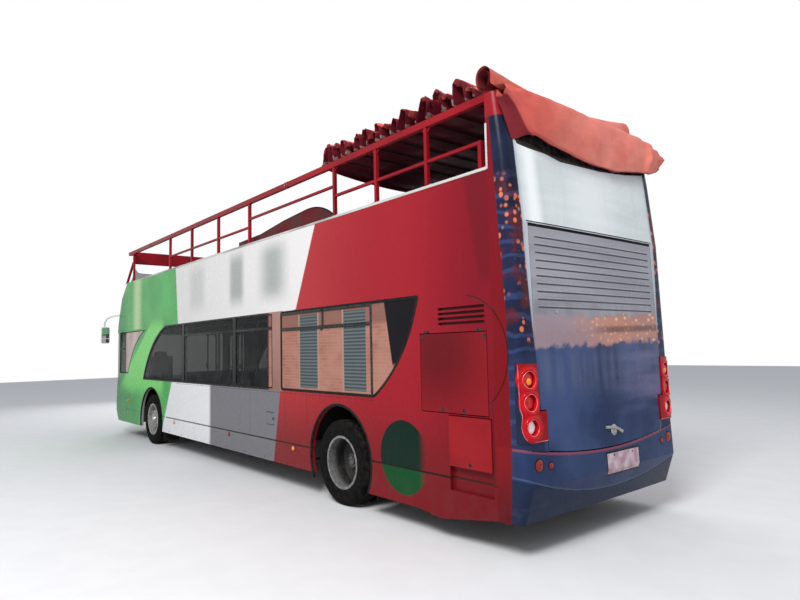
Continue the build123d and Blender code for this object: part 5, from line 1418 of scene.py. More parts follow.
for side in (1, -1):
    for lamp_x in (-3.9, -2.2, -0.4, 1.3, 3.0):
        if side < 0 or lamp_x != -2.2:
            box_in(ceiling_lamps, (lamp_x, side * 0.30, 2.262), (lamp_x + 1.15, side * 0.40, 2.289), 0.008)
piece("ceiling_lamps", ceiling_lamps, "bus", finish("ceiling_lamp_diffuser", lamp_diffuser))
POLES = [
    (4.08, -0.24), (2.35, 0.24), (2.35, -0.24), (0.70, 0.24), (0.40, -0.48), (-1.0, -0.48), (-0.78, 0.24),
    (-2.2, -0.24),
]
POLE_CUP = [(0.0, 0.042), (0.006, 0.040), (0.012, 0.026), (0.030, 0.0235), (0.031, 0.0175)]
CEILING_RAILS = [(0.62, 0.0, 4.0), (-0.62, -2.1, -1.1), (-0.62, 0.5, 4.0)]
for pole_x, pole_y in POLES:
    for cup_z, way in ((0.4205, 1), (2.2895, -1)):
        turned_in(pole_fittings, (pole_x, pole_y, cup_z), (0, 0, way), POLE_CUP, 22)
    if pole_y > 0 or pole_x > 0:
        bell = (pole_x + 0.055, pole_y + 0.032, 1.52)
        box_in(pole_fittings, (pole_x + 0.0155, pole_y - 0.032, 1.42), bell, 0.010)
for rail_y, start_x, end_x in CEILING_RAILS:
    rail = [(start_x, 2.289), (start_x, 2.19), (end_x, 2.19), (end_x, 2.289)]
    tube_in(pole_fittings, [(x, rail_y, z) for x, z in rail], 0.013, 10)
piece("pole_fittings", pole_fittings, "bus", BAR_BLACK)


# Lower deck seats.
# Moulded grey shells on steel pedestals carry padded cushions in beige artificial leather, sewn across.
# Yellow handles are bolted on the aisle corners of the backs.
def seat_shell(where):
    scuff = grain(where, 16.0, detail=9.0)
    return (
        tint(scuff, (0.085, 0.088, 0.095), (0.15, 0.15, 0.15)),
        grade(scuff, -1.4, 2.0),
        relief(grain(where, 420.0), 0.0003),
    )


def beige_leather(where):
    creases = where.node(
        "TexVoronoi", out="Distance", settings={"feature": "DISTANCE_TO_EDGE"}, Vector=where, Scale=150.0
    )
    soiled = grain(where, 6.0, detail=8.0)
    return (
        tint(soiled, (0.56, 0.47, 0.33), (0.40, 0.33, 0.23)),
        grade(soiled, -1.4, 2.2),
        relief(grade(creases, 0.0, 0.12), 0.0006),
    )


def cushion_in(mesh, centre, across, along, up, size, crown):
    """Adds a cushion: size is across, along and thickness; a sewn channel crosses its crowned top."""
    steps = 8
    wide, long, thick = (part / 2 for part in size)
    rows = {}
    for face, i, j in itertools.product((1, -1), range(steps + 1), range(steps + 1)):
        u, v = 2 * i / steps - 1, 2 * j / steps - 1
        if face < 0 and (i in (0, steps) or j in (0, steps)):
            rows[face, i, j] = rows[1, i, j]
            continue
        pull = 1 - 0.10 * (u * v) ** 2
        full = (1 - abs(u) ** 3.5) * (1 - abs(v) ** 3.5)
        lift = face * thick * (0.25 + 0.75 * full ** 0.45) if full > 0 else 0.0
        if face > 0:
            lift += (crown - 0.006 * math.exp(-(v * 9) ** 2)) * full
        point = Vector(centre) + across * (u * wide * pull) + along * (v * long * pull) + up * lift
        rows[face, i, j] = mesh.verts.new(point)
    for face, i, j in itertools.product((1, -1), range(steps), range(steps)):
        mesh.faces.new([rows[face, i + a, j + b] for a, b in ((0, 0), (1, 0), (1, 1), (0, 1))])


SHELL = finish("seat_shell_plastic", seat_shell)
coat(SHELL, "seats_lower", "driver_station")
LOWER_PAIRS = [(x, 1, 0.42) for x in (-0.50, 0.30, 1.06, 1.82)]
LOWER_PAIRS += [(x, -1, 0.42) for x in (-1.90, 0.56, 1.32, 1.98)]
LOWER_PAIRS += [(-4.18, 1, 0.75), (-4.18, -1, 0.75)]
RAKE = Vector((-0.110, 0.0, 0.55)).normalized()
ALONG, ACROSS, UP = Vector((1, 0, 0)), Vector((0, 1, 0)), Vector((0, 0, 1))
pads, handles = bmesh.new(), bmesh.new()
for seat_x, side, floor_z in LOWER_PAIRS:
    for seat_y in (0.484, 0.926):
        foot = Vector((seat_x + 0.283, side * seat_y, floor_z + 0.452))
        cushion_in(pads, foot, ACROSS, ALONG, UP, (0.405, 0.43, 0.075), 0.012)
        middle = Vector((seat_x + 0.013, side * seat_y, floor_z + 0.735))
        cushion_in(pads, middle, ACROSS, RAKE, ACROSS.cross(RAKE), (0.405, 0.50, 0.07), 0.014)
    top = Vector((seat_x - 0.095, side * 0.345, floor_z + 0.975))
    bends = [(0, 0, 0), (-0.01, 0, 0.085), (0.0, -side * 0.09, 0.085), (0.03, -side * 0.09, -0.08)]
    tube_in(handles, [top + Vector(bend) for bend in bends], 0.012, 10)
cushions = piece("lower_seat_cushions", pads, "bus", finish("beige_leather", beige_leather))
piece("lower_seat_handles", handles, "bus", YELLOW)


# Driver's place.
# A padded sprung seat, a dashboard with a hooded instrument cowl and two rows of switches, and floor pedals.
driver_pads, controls = bmesh.new(), bmesh.new()
lean = Vector((-0.08, 0, 1)).normalized()
cushion_in(driver_pads, (4.62, 0.70, 1.065), ACROSS, ALONG, UP, (0.47, 0.46, 0.11), 0.012)
cushion_in(driver_pads, (4.405, 0.70, 1.36), ACROSS, lean, ACROSS.cross(lean), (0.46, 0.58, 0.10), 0.012)
cushion_in(driver_pads, (4.375, 0.70, 1.72), ACROSS, lean, ACROSS.cross(lean), (0.28, 0.17, 0.09), 0.01)
piece("driver_seat_pads", driver_pads, "bus", RUBBER)
box_in(controls, (5.19, 0.46, 1.15), (5.40, 0.94, 1.235), 0.03, 3)
for row in range(2):
    for key in range(6):
        key_y, key_z = 0.985 + key * 0.021, 1.06 + row * 0.04
        box_in(controls, (5.196, key_y, key_z), (5.203, key_y + 0.015, key_z + 0.025), 0.003)
for pedal_y in (0.58, 0.80):
    box_in(controls, (5.02, pedal_y - 0.04, 0.64), (5.14, pedal_y + 0.04, 0.66), 0.006)
piece("driver_controls", controls, "bus", BAR_BLACK)


# Upper deck seats and their handles.
# Weatherproof moulded plastic shells in pairs with drained pans; black tubular handles arch over the backs.
UPPER_ROWS = [-5.32 + 0.76 * row for row in range(12)]
ARCH_STEPS = 14


def outdoor_plastic(where):
    faded = grain(where, 3.0, detail=6.0)
    dirt = grain(where, 25.0, detail=10.0, low=0.5, high=0.8)
    colour = tint(faded, (0.075, 0.085, 0.105), (0.13, 0.14, 0.155))
    return (
        tint(dirt * 0.5, colour, (0.20, 0.18, 0.15)),
        grade(faded, -1.2, 1.8),
        relief(grain(where, 300.0), 0.0003),
    )


coat(finish("outdoor_seat_plastic", outdoor_plastic), "seats_upper")
arches, slats = bmesh.new(), bmesh.new()
for seat_x in UPPER_ROWS:
    for side in (1, -1):
        if side > 0 and -3.81 < seat_x < -0.44:
            continue
        for seat_y in (0.484, 0.926):
            back = Vector((seat_x - 0.080, side * seat_y, 3.255))
            arch = []
            for turn in [math.pi * i / ARCH_STEPS for i in range(ARCH_STEPS + 1)]:
                rise = max(math.sin(turn), 0.0)
                arch.append(back + Vector((-0.01 - 0.004 * rise, -0.165 * math.cos(turn), 0.17 * rise ** 0.7)))
            foot = Vector((0, 0, 0.06))
            tube_in(arches, [arch[0] - foot, *arch, arch[-1] - foot], 0.0125, 8)
            low_y, high_y = side * seat_y - 0.18, side * seat_y + 0.18
            for slat in range(5):
                slat_x = seat_x + 0.10 + slat * 0.075
                box_in(slats, (slat_x, low_y, 2.8495), (slat_x + 0.045, high_y, 2.861), 0.005)
            for slat in range(6):
                share = 0.16 + slat * 0.14
                slat_x, slat_z = seat_x + 0.06 - 0.110 * share, 2.85 + 0.45 * share
                box_in(slats, (slat_x - 0.006, low_y, slat_z), (slat_x + 0.007, high_y, slat_z + 0.042), 0.005)
piece("upper_seat_handles", arches, "bus", BAR_BLACK)
piece("upper_seat_ribs", slats, "bus", SHELL)


# Guard round the stairwell.
# Sheet steel on a frame, enamelled dark red and darkened further with painted shade: a lid over the front half,
# rubber edging and a rail inside.
def dark_red_enamel_in_painted_shade(where):
    fade = grain(where, 2.2, detail=7.0)
    upward = where.node("NewGeometry", out="Normal").axis("Z")
    dusty = grade(upward, 0.2, 0.9) * grain(where, 8.0, detail=9.0)
    # These very dark reds are the guard's red enamel darkened with painted shade.
    colour = tint(fade, (0.055, 0.003, 0.005), (0.095, 0.005, 0.008))
    return (
        tint(dusty * 0.4, colour, (0.26, 0.19, 0.15)),
        grade(fade, -1.0, 2.4),
        relief(grain(where, 1.6), 0.003),
    )


coat(finish("dark_red_enamel_in_painted_shade", dark_red_enamel_in_painted_shade, Specular_IOR_Level=0.12), "stair_cover")
edging, well_rail = bmesh.new(), bmesh.new()
guard_rear = arc_points((-2.48, 3.55), (-2.88, 3.505), (-3.10, 3.40), 10)
for wall_y in (0.4075, 1.1625):
    path = [(x, wall_y, z + 0.002) for x, z in [(-0.555, 3.41), (-1.26, 3.43), (-1.93, 3.51)] + guard_rear]
    tube_in(edging, path + [(-3.103, wall_y, 3.2), (-3.103, wall_y, 2.42)], 0.0145, 8)
for wall_y in (0.455, 1.115):
    tube_in(well_rail, [(-3.02, wall_y, 3.20), (-2.2, wall_y, 2.62), (-1.45, wall_y, 1.86)], 0.016, 10)
LID_SEAM_X = -1.26
box_in(edging, (LID_SEAM_X - 0.006, 0.41, 3.4265), (LID_SEAM_X + 0.006, 1.16, 3.433), 0.002)
piece("guard_edging", edging, "bus", RUBBER)
piece("stair_hand_rails", well_rail, "bus", YELLOW)


# Open roof frame.
# Welded square and round steel tube in red enamel, chipped at the corners.
# Its posts stand on foot plates bolted to the parapet.
def red_enamel(where):
    fade = grain(where, 1.4, detail=6.0)
    chips = grade(grain(where, 46.0, detail=12.0, low=0.62, high=0.70), 0.4, 0.9)
    colour = tint(fade, (0.19, 0.004, 0.010), (0.26, 0.007, 0.014))
    return (
        tint(chips * 0.7, colour, (0.10, 0.035, 0.025)),
        chips * 0.4 + fade * 0.15 + 0.25,
        relief(grain(where, 30.0, detail=3.0) - chips, 0.0005),
    )


FRAME_RED = finish("red_frame_enamel", red_enamel, Specular_IOR_Level=0.1)
coat(FRAME_RED, "roof_rails", "roof_posts", "roof_header")
ROOF_POSTS = [4.56, 2.32, 1.24, 0.11, -1.00, -3.24, -4.05, -4.86, -5.57]
feet, post_bolts = bmesh.new(), bmesh.new()
FOOT_BOLT = [(0.0, 0.013), (0.002, 0.013), (0.002, 0.010), (0.009, 0.010), (0.010, 0.008)]
RAIL_BOLT = [(0.0, 0.009), (0.006, 0.009), (0.007, 0.006)]
for side in (1, -1):
    for post_x in ROOF_POSTS:
        if post_x < 4.15:
            box_in(feet, (post_x - 0.065, side * 1.190, 3.3335), (post_x + 0.065, side * 1.246, 3.3415), 0.002)
            for bolt_x in (post_x - 0.048, post_x + 0.048):
                turned_in(post_bolts, (bolt_x, side * 1.218, 3.341), (0, 0, 1), FOOT_BOLT, 6)
        for corner in (1, -1):
            if post_x > -5.5:
                near_x = post_x + corner * 0.018
                gusset = [(near_x, 3.927), (post_x + corner * 0.075, 3.927), (near_x, 3.865)]
                plate_in(feet, [gusset[::-corner]], on_side(side), (1.213, 1.219)[::side])
    for rail_x in (-2.12, 3.44):
        box_in(feet, (rail_x - 0.05, side * 1.1885, 3.9225), (rail_x + 0.05, side * 1.2425, 3.9985), 0.004)
        for bolt_x in (rail_x - 0.03, rail_x + 0.03):
            turned_in(post_bolts, (bolt_x, side * 1.2425, 3.96), (0, side, 0), RAIL_BOLT, 6)
for side in (1, -1):
    for head_y in (1.12, 0.60, 0.08):
        box_in(feet, (4.698, side * head_y - 0.02, 3.735), (4.742, side * head_y + 0.02, 3.782), 0.006)
piece("frame_foot_plates", feet, "bus", FRAME_RED)
piece("frame_bolts", post_bolts, "bus", BRIGHT_METAL)


# Folding roof fabric.
# One continuous sheet of coral red coated fabric hangs on cross bows and is pushed back over the rear in folds.
# Its folds stand up unevenly between the bows, and their open ends rest on the rails.
FOLDS = 19
FOLD_FRONT_X, FOLD_REAR_X = -3.02, -5.53
FOLD_PITCH = (FOLD_FRONT_X - FOLD_REAR_X) / FOLDS
FOLD_STEPS = 12
ROOF_HALF = 1.243
MAROON_INSIDE_AND_SHADE = (0.095, 0.004, 0.014)


def coated_fabric(dark, light, inside=None):
    """Weathered coated cloth, a little darker in its creases as painted shade; inside(where, colour) lays the
    colours of its inner side and painted shade over it.
    """
    def build(where):
        faded = grain(where, 1.5, detail=5.0)
        creases = grain(where, 11.0, detail=9.0, stretch=(0.7, 2.0, 0.7), low=0.3, high=0.7)
        weave = waves(where, 260.0)
        colour = tint(faded * 0.55, light, dark)
        # Darker in the creases: painted shade.
        colour = tint(creases * 0.18, colour, dark)
        if inside:
            colour = inside(where, colour)
        return colour, grade(faded, -1.4, 1.9), relief(weave * 0.2 + creases, 0.0018)

    return build


def fold_ends(where, colour):
    """Maroon inner side at the open ends of the folds, deepened with painted shade on their steep faces, and
    beige webbing in the valleys.
    """
    x, y, z = where.axes("XYZ")
    off = abs(y)
    facing = where.node("NewGeometry", out="Normal").axis("Z")
    ragged = (grain(where, 14.0, detail=3.0) - 0.5) * 0.5
    # Steep faces near the ends of the folds turn maroon: the inner side of the fabric, and painted shade where
    # the faces turn away from the light.
    steep = grade(abs(facing) + ragged, 0.72, 0.50)
    deep = steep * grade(off, 0.98, 1.14)
    colour = tint(deep * 0.95, colour, MAROON_INSIDE_AND_SHADE)
    ridge = grain(where.node("CombineXYZ", X=x), 26.0, detail=2.0, low=0.4, high=0.7) * 0.075
    webbing = grade(ridge + 4.012 - z, -0.004, 0.004)
    webbing = webbing * grade(off, 1.17, 1.20)
    return tint(webbing * 0.75, colour, (0.34, 0.27, 0.23))


def cloth_grid(mesh, columns):
    """Adds a single sheet from columns of points."""
    rows = [[mesh.verts.new(point) for point in column] for column in columns]
    for first, second in zip(rows, rows[1:]):
        for i in range(len(first) - 1):
            mesh.faces.new((first[i], first[i + 1], second[i + 1], second[i]))


FOLDED_CORAL = finish(
    "coral_fabric_in_folds", coated_fabric((0.50, 0.050, 0.052), (0.80, 0.18, 0.15), fold_ends),
    Specular_IOR_Level=0.1,
)
fold_shifts = [random.uniform(-0.26, 0.26) if 0 < i < FOLDS else 0.0 for i in range(FOLDS + 1)]
fold_edges = [FOLD_FRONT_X - FOLD_PITCH * (i + shift) for i, shift in enumerate(fold_shifts)]
fold_shapes = [
    {
        "left": random.uniform(0.11, 0.245), "right": random.uniform(0.11, 0.24),
        "middle": random.uniform(0.10, 0.15), "lean": random.uniform(-0.34, 0.26),
        "sharp": random.uniform(0.55, 0.95), "wide": random.uniform(0.8, 1.15),
        "phase": random.uniform(0.0, 6.3), "twist": random.uniform(-0.03, 0.03),
        "point": random.uniform(1.0, 1.9),
    }
    for fold in range(FOLDS)
]


def fold_column(y):
    """Section of the folded fabric at a distance from the middle, from its front edge to the last valley."""
    side = y / ROOF_HALF
    edge = abs(side) ** 6
    column = [Vector((FOLD_FRONT_X + 0.012, y, 3.998 - 0.012)), Vector((FOLD_FRONT_X + 0.02, y, 4.004))]
    for fold, shape in enumerate(fold_shapes):
        fore_x, pitch = fold_edges[fold], fold_edges[fold] - fold_edges[fold + 1]
        near = 0.5 + 0.5 * side
        end_height = shape["left"] * near + shape["right"] * (1 - near)
        sag = 1 - min(1.0, abs(side)) ** 3
        height = end_height * (1 - sag) + shape["middle"] * sag
        height *= 1 + 0.06 * math.sin(5.0 * y + shape["phase"])
        low_z = 4.003 + 0.045 * (1 - edge)
        sharp = shape["sharp"] + (shape["point"] - shape["sharp"]) * edge
        for step in range(FOLD_STEPS):
            t = step / FOLD_STEPS
            rise = math.sin(math.pi * t) ** sharp
            x = fore_x - pitch * t
            puff = 0.27 * pitch * math.sin(2 * math.pi * t) * rise * shape["wide"]
            lean = shape["lean"] * height * rise + shape["twist"] * math.sin(3.1 * y + shape["phase"]) * rise
            crumple = 0.022 * rise * edge * noise.noise(Vector((fold * 3.7, 9.0 * t, 16.0 * y)))
            top = min(low_z + height * rise, 4.268)
            flare = 0.010 * rise * edge * (1 if y > 0 else -1)
            column.append(Vector((x + puff + lean + crumple, y + flare, top + crumple)))
    column.append(Vector((FOLD_REAR_X, y, 4.03)))
    return column


roof_cloth = bmesh.new()
columns = [fold_column(ROOF_HALF * math.sin(0.5 * math.pi * (2 * i / 46 - 1))) for i in range(47)]
cloth_grid(roof_cloth, columns)
folded_roof = piece("folded_roof_fabric", roof_cloth, "bus", FOLDED_CORAL)
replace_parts(folded_roof, "canopy_bunch")

BOWS = 9
lining, bows = bmesh.new(), bmesh.new()


def lining_column(y):
    column = []
    drop = 0.088 * (1 - (y / 1.18) ** 2)
    for part in range(4):
        column.append(Vector((-3.012 - 0.012 * part, y, 3.955 - drop * (1 - part / 4))))
    for i in range(61):
        x = -3.06 - (5.535 - 3.06) * i / 60
        sag = 0.013 * math.sin(math.pi * i / 60 * (BOWS - 1)) ** 2
        near_front = 0.070 * (1 - (y / 1.18) ** 2) * math.exp(-((x + 3.06) / 0.30) ** 2)
        column.append(Vector((x, y, 3.972 - sag - near_front)))
    return column


cloth_grid(lining, [lining_column(1.178 * (2 * i / 24 - 1)) for i in range(25)])
# The lining sheet under the bows is dark maroon: painted shade under the roof fabric.
SHADED_LINING_CLOTH = coated_fabric((0.050, 0.003, 0.008), (0.100, 0.006, 0.014))
SHADED_LINING = finish("lining_fabric_in_painted_shade", SHADED_LINING_CLOTH, Specular_IOR_Level=0.1)
roof_lining = piece("roof_lining_fabric", lining, "bus", SHADED_LINING)
for bow in range(BOWS):
    bow_x = -3.10 - (5.50 - 3.10) * bow / (BOWS - 1)
    bow_line = [(-1.19, 3.955), (-1.10, 3.962), (1.10, 3.962), (1.19, 3.955)]
    tube_in(bows, [(bow_x, y, z) for y, z in bow_line], 0.0085, 8)
# The bows take the black chassis paint: painted shade under the fabric.
piece("roof_bows", bows, "bus", CHASSIS_PAINT)


# Rear curtain.
# The rear end of the roof is a second sheet of the same fabric, rolled up on the rails' ends.
# Its loose end hangs over the top of the rear wall, creased, with its hem tucked under.
ROLL_X, ROLL_Z, ROLL_SQUASH = -5.648, 4.128, 0.74
ROLL_LEFT, ROLL_RIGHT = 1.250, -1.075
CURTAIN_LEFT, CURTAIN_RIGHT = 1.262, -1.400
TURNS = 1.7
ROLL_STEPS = 36
HEM_SECTION = [
    (0.022, -0.010, 0.25), (0.046, -0.006, 1.0), (0.060, 0.014, 1.0), (0.058, 0.045, 0.4), (0.050, 0.085, 0.0),
]
HEM_LINE = [
    (1.262, 3.890), (1.200, 3.845), (1.12, 3.800), (0.99, 3.712), (0.911, 3.640), (0.637, 3.596),
    (0.082, 3.532), (-0.46, 3.528), (-0.906, 3.600), (-1.187, 3.632), (-1.400, 3.705),
]
SHOULDER_LINE = [
    (1.262, 3.965), (0.90, 3.965), (-0.60, 3.955), (-0.90, 3.930), (-1.235, 3.862), (-1.400, 3.800),
]
TUCK_LINE = [(1.262, 0.0), (1.20, 0.07), (1.12, 0.24), (1.03, 0.15), (0.93, 0.03), (0.85, 0.0), (-1.400, 0.0)]


def table_value(table, at):
    """Value between the rows of a table whose first column falls."""
    for (first, first_value), (second, second_value) in zip(table, table[1:]):
        if at >= second:
            share = (first - at) / (first - second)
            return first_value + (second_value - first_value) * share
    return table[-1][1]


def curtain_inside(where, colour):
    """Maroon inner side in the ends of the roll and in the tuck behind the hem, both with painted shade, and
    painted shade down the flap's left end.
    """
    x, y, z = where.axes("XYZ")
    across = (x - ROLL_X) / ROLL_SQUASH
    reach = from_point(across, z, (0.0, ROLL_Z))
    in_roll = grade(reach, 0.112, 0.104) * grade(abs(y), 0.98, 1.04)
    in_tuck = grade(x, -5.912, -5.895) * grade(z, 3.93, 3.90)
    # Deeper red on the flap's left end: painted shade on the side that hangs round the corner.
    shaded_left_end = grade(y, 0.25, 1.15) * 0.55
    colour = tint(shaded_left_end, colour, (0.50, 0.050, 0.045))
    tanned = grade(reach, 0.155, 0.135) * 0.3
    colour = tint(tanned, colour, (0.36, 0.115, 0.075))
    # The tuck behind the hem and the insides of the roll's ends show the maroon inner side, darkened with
    # painted shade.
    colour = tint(in_tuck * 0.9, colour, (0.15, 0.008, 0.018))
    return tint(in_roll * 0.9, colour, MAROON_INSIDE_AND_SHADE)


def curtain_column(share):
    y = CURTAIN_LEFT + (CURTAIN_RIGHT - CURTAIN_LEFT) * share
    roll_y = ROLL_LEFT + (ROLL_RIGHT - ROLL_LEFT) * share
    sag = 0.10 * max(0.0, 1 - ((roll_y - 0.08) / 1.17) ** 2)
    leave = math.radians(190 + 36 * min(1.0, share / 0.5))
    total = 2 * math.pi * TURNS
    column = []
    for i in range(ROLL_STEPS + 1):
        angle = leave - total * (1 - i / ROLL_STEPS)
        radius = 0.072 + (0.128 - 0.072) * i / ROLL_STEPS
        radius *= 1 + 0.035 * math.sin(3 * angle + 9 * share)
        roll_x = ROLL_X + ROLL_SQUASH * radius * math.cos(angle)
        column.append(Vector((roll_x, roll_y, ROLL_Z - sag + radius * math.sin(angle))))
    start = column[-1]
    way = Vector((-math.sin(leave), 0, math.cos(leave)))
    hem_z = table_value(HEM_LINE, y)
    at_left = math.exp(-((CURTAIN_LEFT - y) / 0.22) ** 2)
    at_right = max(0.0, -1.14 - y) / 0.26
    shoulder_x = -5.952 + 0.06 * at_left + 0.05 * at_right ** 1.5 - 0.012 * math.sin(7 * share)
    shoulder = Vector((shoulder_x, y, table_value(SHOULDER_LINE, y)))
    reach = (shoulder - start).length
    second = start + way * reach * 0.55
    third = shoulder + Vector((0.015, 0, reach * 0.36))
    for i in range(1, 15):
        t = i / 14
        near = start * (1 - t) ** 3 + second * 3 * t * (1 - t) ** 2
        point = near + third * 3 * t * t * (1 - t) + shoulder * t ** 3
        point.y = roll_y + (y - roll_y) * min(1.0, 1.5 * t)
        column.append(point)
    for i in range(1, 12):
        t = i / 11
        hang_x = shoulder.x - 0.012 * math.sin(math.pi * t) + 0.03 * t * t
        column.append(Vector((hang_x, y, shoulder.z + (hem_z - shoulder.z) * t)))
    tuck = table_value(TUCK_LINE, y)
    for x_in, z_up, hang in HEM_SECTION:
        column.append(Vector((shoulder.x + 0.03 + x_in, y, hem_z + z_up - tuck * hang)))
    loose = column[ROLL_STEPS + 1:]
    for i, point in enumerate(loose):
        way_down = i / len(loose)
        ends = math.exp(-(share / 0.09) ** 2) + math.exp(-((1 - share) / 0.14) ** 2)
        spot = Vector((share * 9.0 + way_down * 3.4, way_down * 1.6 - share * 2.2, 3.7))
        crease = noise.noise(spot) + 0.5 * noise.noise(spot * 2.3 + Vector((4, 1, 7)))
        ridge = 1 - abs(noise.noise(Vector((share * 15.0 - way_down * 5.5, way_down * 2.5, 9.1)))) * 3
        strength = min(1.0, way_down * 3) * (0.010 + 0.022 * ends)
        pull = abs(point.y + 1.13 - 0.10 * way_down)
        dart = 0.030 * max(0.0, 1 - pull / 0.07) * min(1.0, way_down * 2)
        point.x -= strength * (crease + 0.6 * max(ridge, 0.0)) + dart
        point.z += 0.5 * strength * crease
    return column


curtain = bmesh.new()
cloth_grid(curtain, [curtain_column(i / 96) for i in range(97)])
CORAL = finish(
    "coral_fabric", coated_fabric((0.58, 0.105, 0.080), (0.82, 0.245, 0.190), curtain_inside),
    Specular_IOR_Level=0.15,
)
rear_curtain = piece("rear_curtain_fabric", curtain, "bus", CORAL)
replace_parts(rear_curtain, "canopy_roll")


# Mirrors.
# White plastic heads on bent white tube arms at the front corners; flat and wide-angle glasses face back.
def mirror_glass(where):
    spots = grain(where, 30.0, detail=6.0)
    return (
        tint(spots, (0.72, 0.75, 0.78), (0.60, 0.62, 0.64)),
        grade(spots, -0.05, 9.0),
        relief(grain(where, 2.0), 0.0004),
    )


WHITE_PLASTIC = finish(
    "mirror_white_plastic", enamel((0.74, 0.74, 0.74), (0.50, 0.49, 0.47), 0.28), Coat_Weight=0.3
)
MIRROR_ARM = [
    (5.56, 1.185, 2.645), (5.63, 1.27, 2.642), (5.71, 1.385, 2.615), (5.775, 1.455, 2.56), (5.82, 1.48, 2.48),
    (5.832, 1.482, 2.36),
]
KNUCKLE = [(0.0, 0.045), (0.020, 0.045), (0.034, 0.030), (0.055, 0.024)]
HEAD_SECTIONS = [(5.792, 0.006), (5.800, 0.0), (5.835, 0.006), (5.858, 0.022), (5.869, 0.05)]
heads, arms, glasses, knuckles = bmesh.new(), bmesh.new(), bmesh.new(), bmesh.new()
for side in (1, -1):
    tube_in(arms, [(x, side * y, z) for x, y, z in MIRROR_ARM], 0.019, 14)
    turned_in(knuckles, (5.545, side * 1.172, 2.645), (0.55, side * 0.83, 0), KNUCKLE, 24)
    rings = []
    for depth, inset in HEAD_SECTIONS:
        outline = box_outline((1.371 + inset, 1.558 - inset), (2.012 + inset, 2.388 - inset))
        rings.append([(depth, side * y, z) for y, z in rounded(outline, 0.045, 4)])
    skin_rings(heads, rings)
    for span in ((2.13, 2.37), (2.03, 2.115)):
        pane = rounded(box_outline((1.388, 1.541), span), 0.02, 4)
        plate_in(glasses, [pane], lambda u, v, depth: (depth, side * u, v), (5.7905, 5.7935))
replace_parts(piece("mirror_heads", heads, "bus", WHITE_PLASTIC), "mirrors")
piece("mirror_arms", arms, "bus", WHITE_PLASTIC)
piece("mirror_glasses", glasses, "bus", finish("mirror_glass", mirror_glass, Metallic=1.0))
piece("mirror_knuckles", knuckles, "bus", RUBBER)


# Windows.
# Tinted toughened glass with road film; the rear panes carry a printed picture film that covers the whole pane.
# The print is a plain brick wall with two grey-green shutters and a dark triangle at its sloping end.
def side_glass_look(where):
    x, z = where.axes("XZ")
    bricks = where.node(
        "TexBrick", out="Color", Vector=where.node("CombineXYZ", X=x, Y=z), Scale=1.0,
        Color1=(0.36, 0.155, 0.115), Color2=(0.29, 0.115, 0.085), Mortar=(0.37, 0.215, 0.17),
        Brick_Width=0.14, Row_Height=0.038, Mortar_Size=0.004, Mortar_Smooth=0.6,
    )
    wall = tint(grain(where, 3.5, detail=7.0) * 0.6, bricks, (0.40, 0.20, 0.15))
    wall = tint(grade(z, 2.02, 2.06) * 0.75, wall, (0.20, 0.095, 0.075))
    slats = waves(where, 8.0, bands_direction="Z")
    shutter = tint(slats, (0.045, 0.055, 0.058), (0.125, 0.15, 0.152))
    on_shutter = between(x, -2.86, -2.45, 0.01) + between(x, -3.84, -3.42, 0.01)
    on_shutter = on_shutter * between(z, 1.30, 2.20, 0.01)
    wall = tint(on_shutter, wall, shutter)
    frame_line = between(x, -2.895, -2.862, 0.008) + between(x, -2.448, -2.415, 0.008)
    frame_line = frame_line + between(x, -3.418, -3.385, 0.008)
    wall = tint(frame_line * between(z, 1.28, 2.22, 0.01), wall, (0.34, 0.22, 0.18))
    beyond = grade(from_line(x, z, (-4.288, 1.613), 0.187), 0.008, -0.008)
    beyond = beyond * grade(z, 1.56, 1.62)
    picture = tint(beyond, wall, (0.010, 0.009, 0.011))
    dust = grain(where, 5.0, detail=9.0) * (grade(z, 2.2, 1.2) * 0.4 + 0.2)
    clear = tint(dust, (0.008, 0.010, 0.011), (0.040, 0.040, 0.038))
    on_film = grade(x, -1.612, -1.618)
    return (
        tint(on_film, clear, picture),
        on_film * 0.30 + 0.04 + dust * 0.12,
        relief(grain(where, 1.4), 0.0018),
        calc("MINIMUM", on_film * 0.4 + dust * 0.12 + 0.55, 1.0),
    )


coat(finish("side_window_glass", side_glass_look, Specular_IOR_Level=0.04, IOR=1.5), "side_glass")
driver_film = bmesh.new()
film_edge = [(4.985, 2.235)] + arc_points((3.655, 2.235), (4.385, 1.875), (4.797, 1.356), 24) + [(4.985, 1.356)]
plate_in(driver_film, [film_edge], on_side(1), (1.2435, 1.2445))


def pale_film(where):
    wash = grain(where, 2.6, detail=6.0, stretch=(1.0, 1.0, 2.5))
    return (
        tint(wash, (0.52, 0.34, 0.29), (0.40, 0.33, 0.30)),
        grade(wash, -1.0, 3.0),
        relief(grain(where, 1.4), 0.001),
    )


DRIVER_FILM = finish("driver_window_film", pale_film)
piece("driver_window_film", driver_film, "bus", DRIVER_FILM, smooth=False)
CLEAR_GLASS = tinted((0.030, 0.038, 0.040), (0.11, 0.115, 0.115))
coat(
    finish("windscreen_glass", CLEAR_GLASS, Alpha=0.50, Specular_IOR_Level=0.25, IOR=1.5), "windscreens"
)


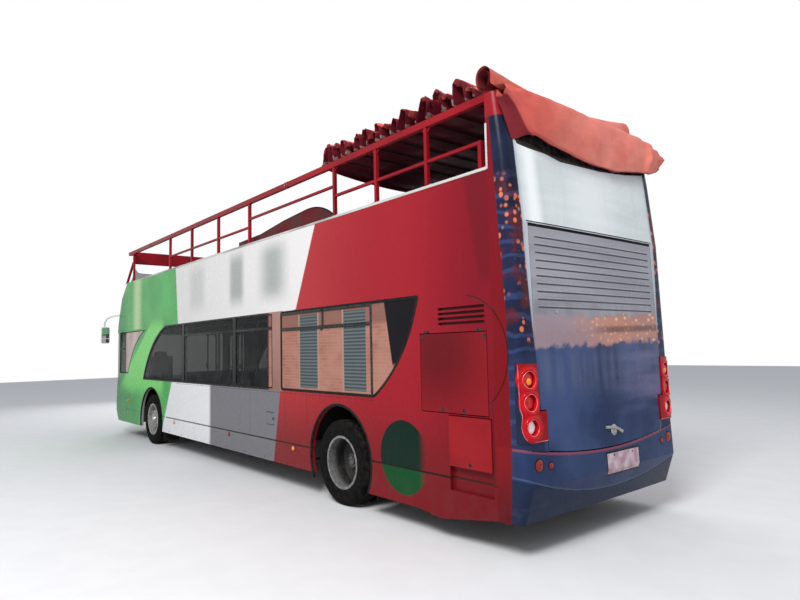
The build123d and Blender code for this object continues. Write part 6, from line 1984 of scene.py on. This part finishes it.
# Camera, light and floor.
# Soft daylight in the open shade of the left side, on a plain pale floor.
LOOK_FROM = (-9.146, 5.189, 1.768)
TURN, RISE_ANGLE, ROLL = -0.6972, 0.0785, -0.0223
flat_way = math.cos(RISE_ANGLE)
forward = Vector((flat_way * math.cos(TURN), flat_way * math.sin(TURN), math.sin(RISE_ANGLE)))
right = Vector((math.sin(TURN), -math.cos(TURN), 0.0))
above = right.cross(forward)
right, above = right * math.cos(ROLL) + above * math.sin(ROLL), above * math.cos(ROLL) - right * math.sin(ROLL)
lens = bpy.data.cameras.new("photo_view")
lens.lens = 27.283
lens.sensor_width = 36.0
eye = bpy.data.objects.new("photo_view", lens)
eye.matrix_world = Matrix.Translation(LOOK_FROM) @ Matrix((right, above, -forward)).transposed().to_4x4()
bpy.context.scene.collection.objects.link(eye)
bpy.context.scene.camera = eye

sky = bpy.data.worlds.new("open_sky")
bpy.context.scene.world = sky
sky.use_nodes = True
tree = sky.node_tree
tree.nodes.clear()
up = shade(tree, "TexCoord", out="Generated").axis("Z")
seen, mirrored, through = (
    shade(tree, "LightPath", out=ray) for ray in ("Is Camera Ray", "Is Glossy Ray", "Is Transmission Ray")
)
white_rays = calc("MAXIMUM", calc("MAXIMUM", seen, mirrored), through)
haze = tint(grade(up, -0.1, 0.8), (0.93, 0.94, 0.95), (0.86, 0.91, 1.0))
day = shade(tree, "Background", Color=haze, Strength=0.60)
plain = shade(tree, "Background", Color=(1.0, 1.0, 1.0), Strength=1.0)
end = tree.nodes.new("ShaderNodeOutputWorld")
tree.links.new(shade(tree, "MixShader", n0=white_rays, n1=day, n2=plain).socket, end.inputs[0])

for name, place, aim, size, power in (
    ("key_light", (-9.0, 9.5, 11.0), (-1.5, 0.0, 2.0), 5.0, 1900.0),
    ("front_fill", (13.0, -3.0, 6.0), (3.0, 0.0, 2.0), 6.0, 330.0),
    ("top_light", (0.0, -4.0, 11.0), (0.0, 0.0, 3.0), 8.0, 300.0),
):
    source = bpy.data.lights.new(name, "AREA")
    source.size = size
    source.energy = power
    lamp = bpy.data.objects.new(name, source)
    lamp.location = place
    lamp.visible_glossy = name == "key_light"
    lamp.rotation_euler = (Vector(aim) - Vector(place)).to_track_quat("-Z", "Y").to_euler()
    bpy.context.scene.collection.objects.link(lamp)

FLOOR_REACH = 40.0
floor_mesh = bpy.data.meshes.new("floor")
corners = [(FLOOR_REACH * x, FLOOR_REACH * y, 0) for x, y in ((-1, -1), (1, -1), (1, 1), (-1, 1))]
floor_mesh.from_pydata(corners, [], [(0, 1, 2, 3)])
ground = bpy.data.objects.new("floor", floor_mesh)
bpy.context.scene.collection.objects.link(ground)


def pale_floor(where):
    speck = grain(where, 3.0, detail=6.0)
    return tint(speck, (0.70, 0.70, 0.70), (0.72, 0.72, 0.72)), grade(speck, -8.0, 1.1)


floor_mesh.materials.append(finish("pale_floor", pale_floor, Specular_IOR_Level=0.05))
bpy.context.scene.view_settings.view_transform = "Standard"
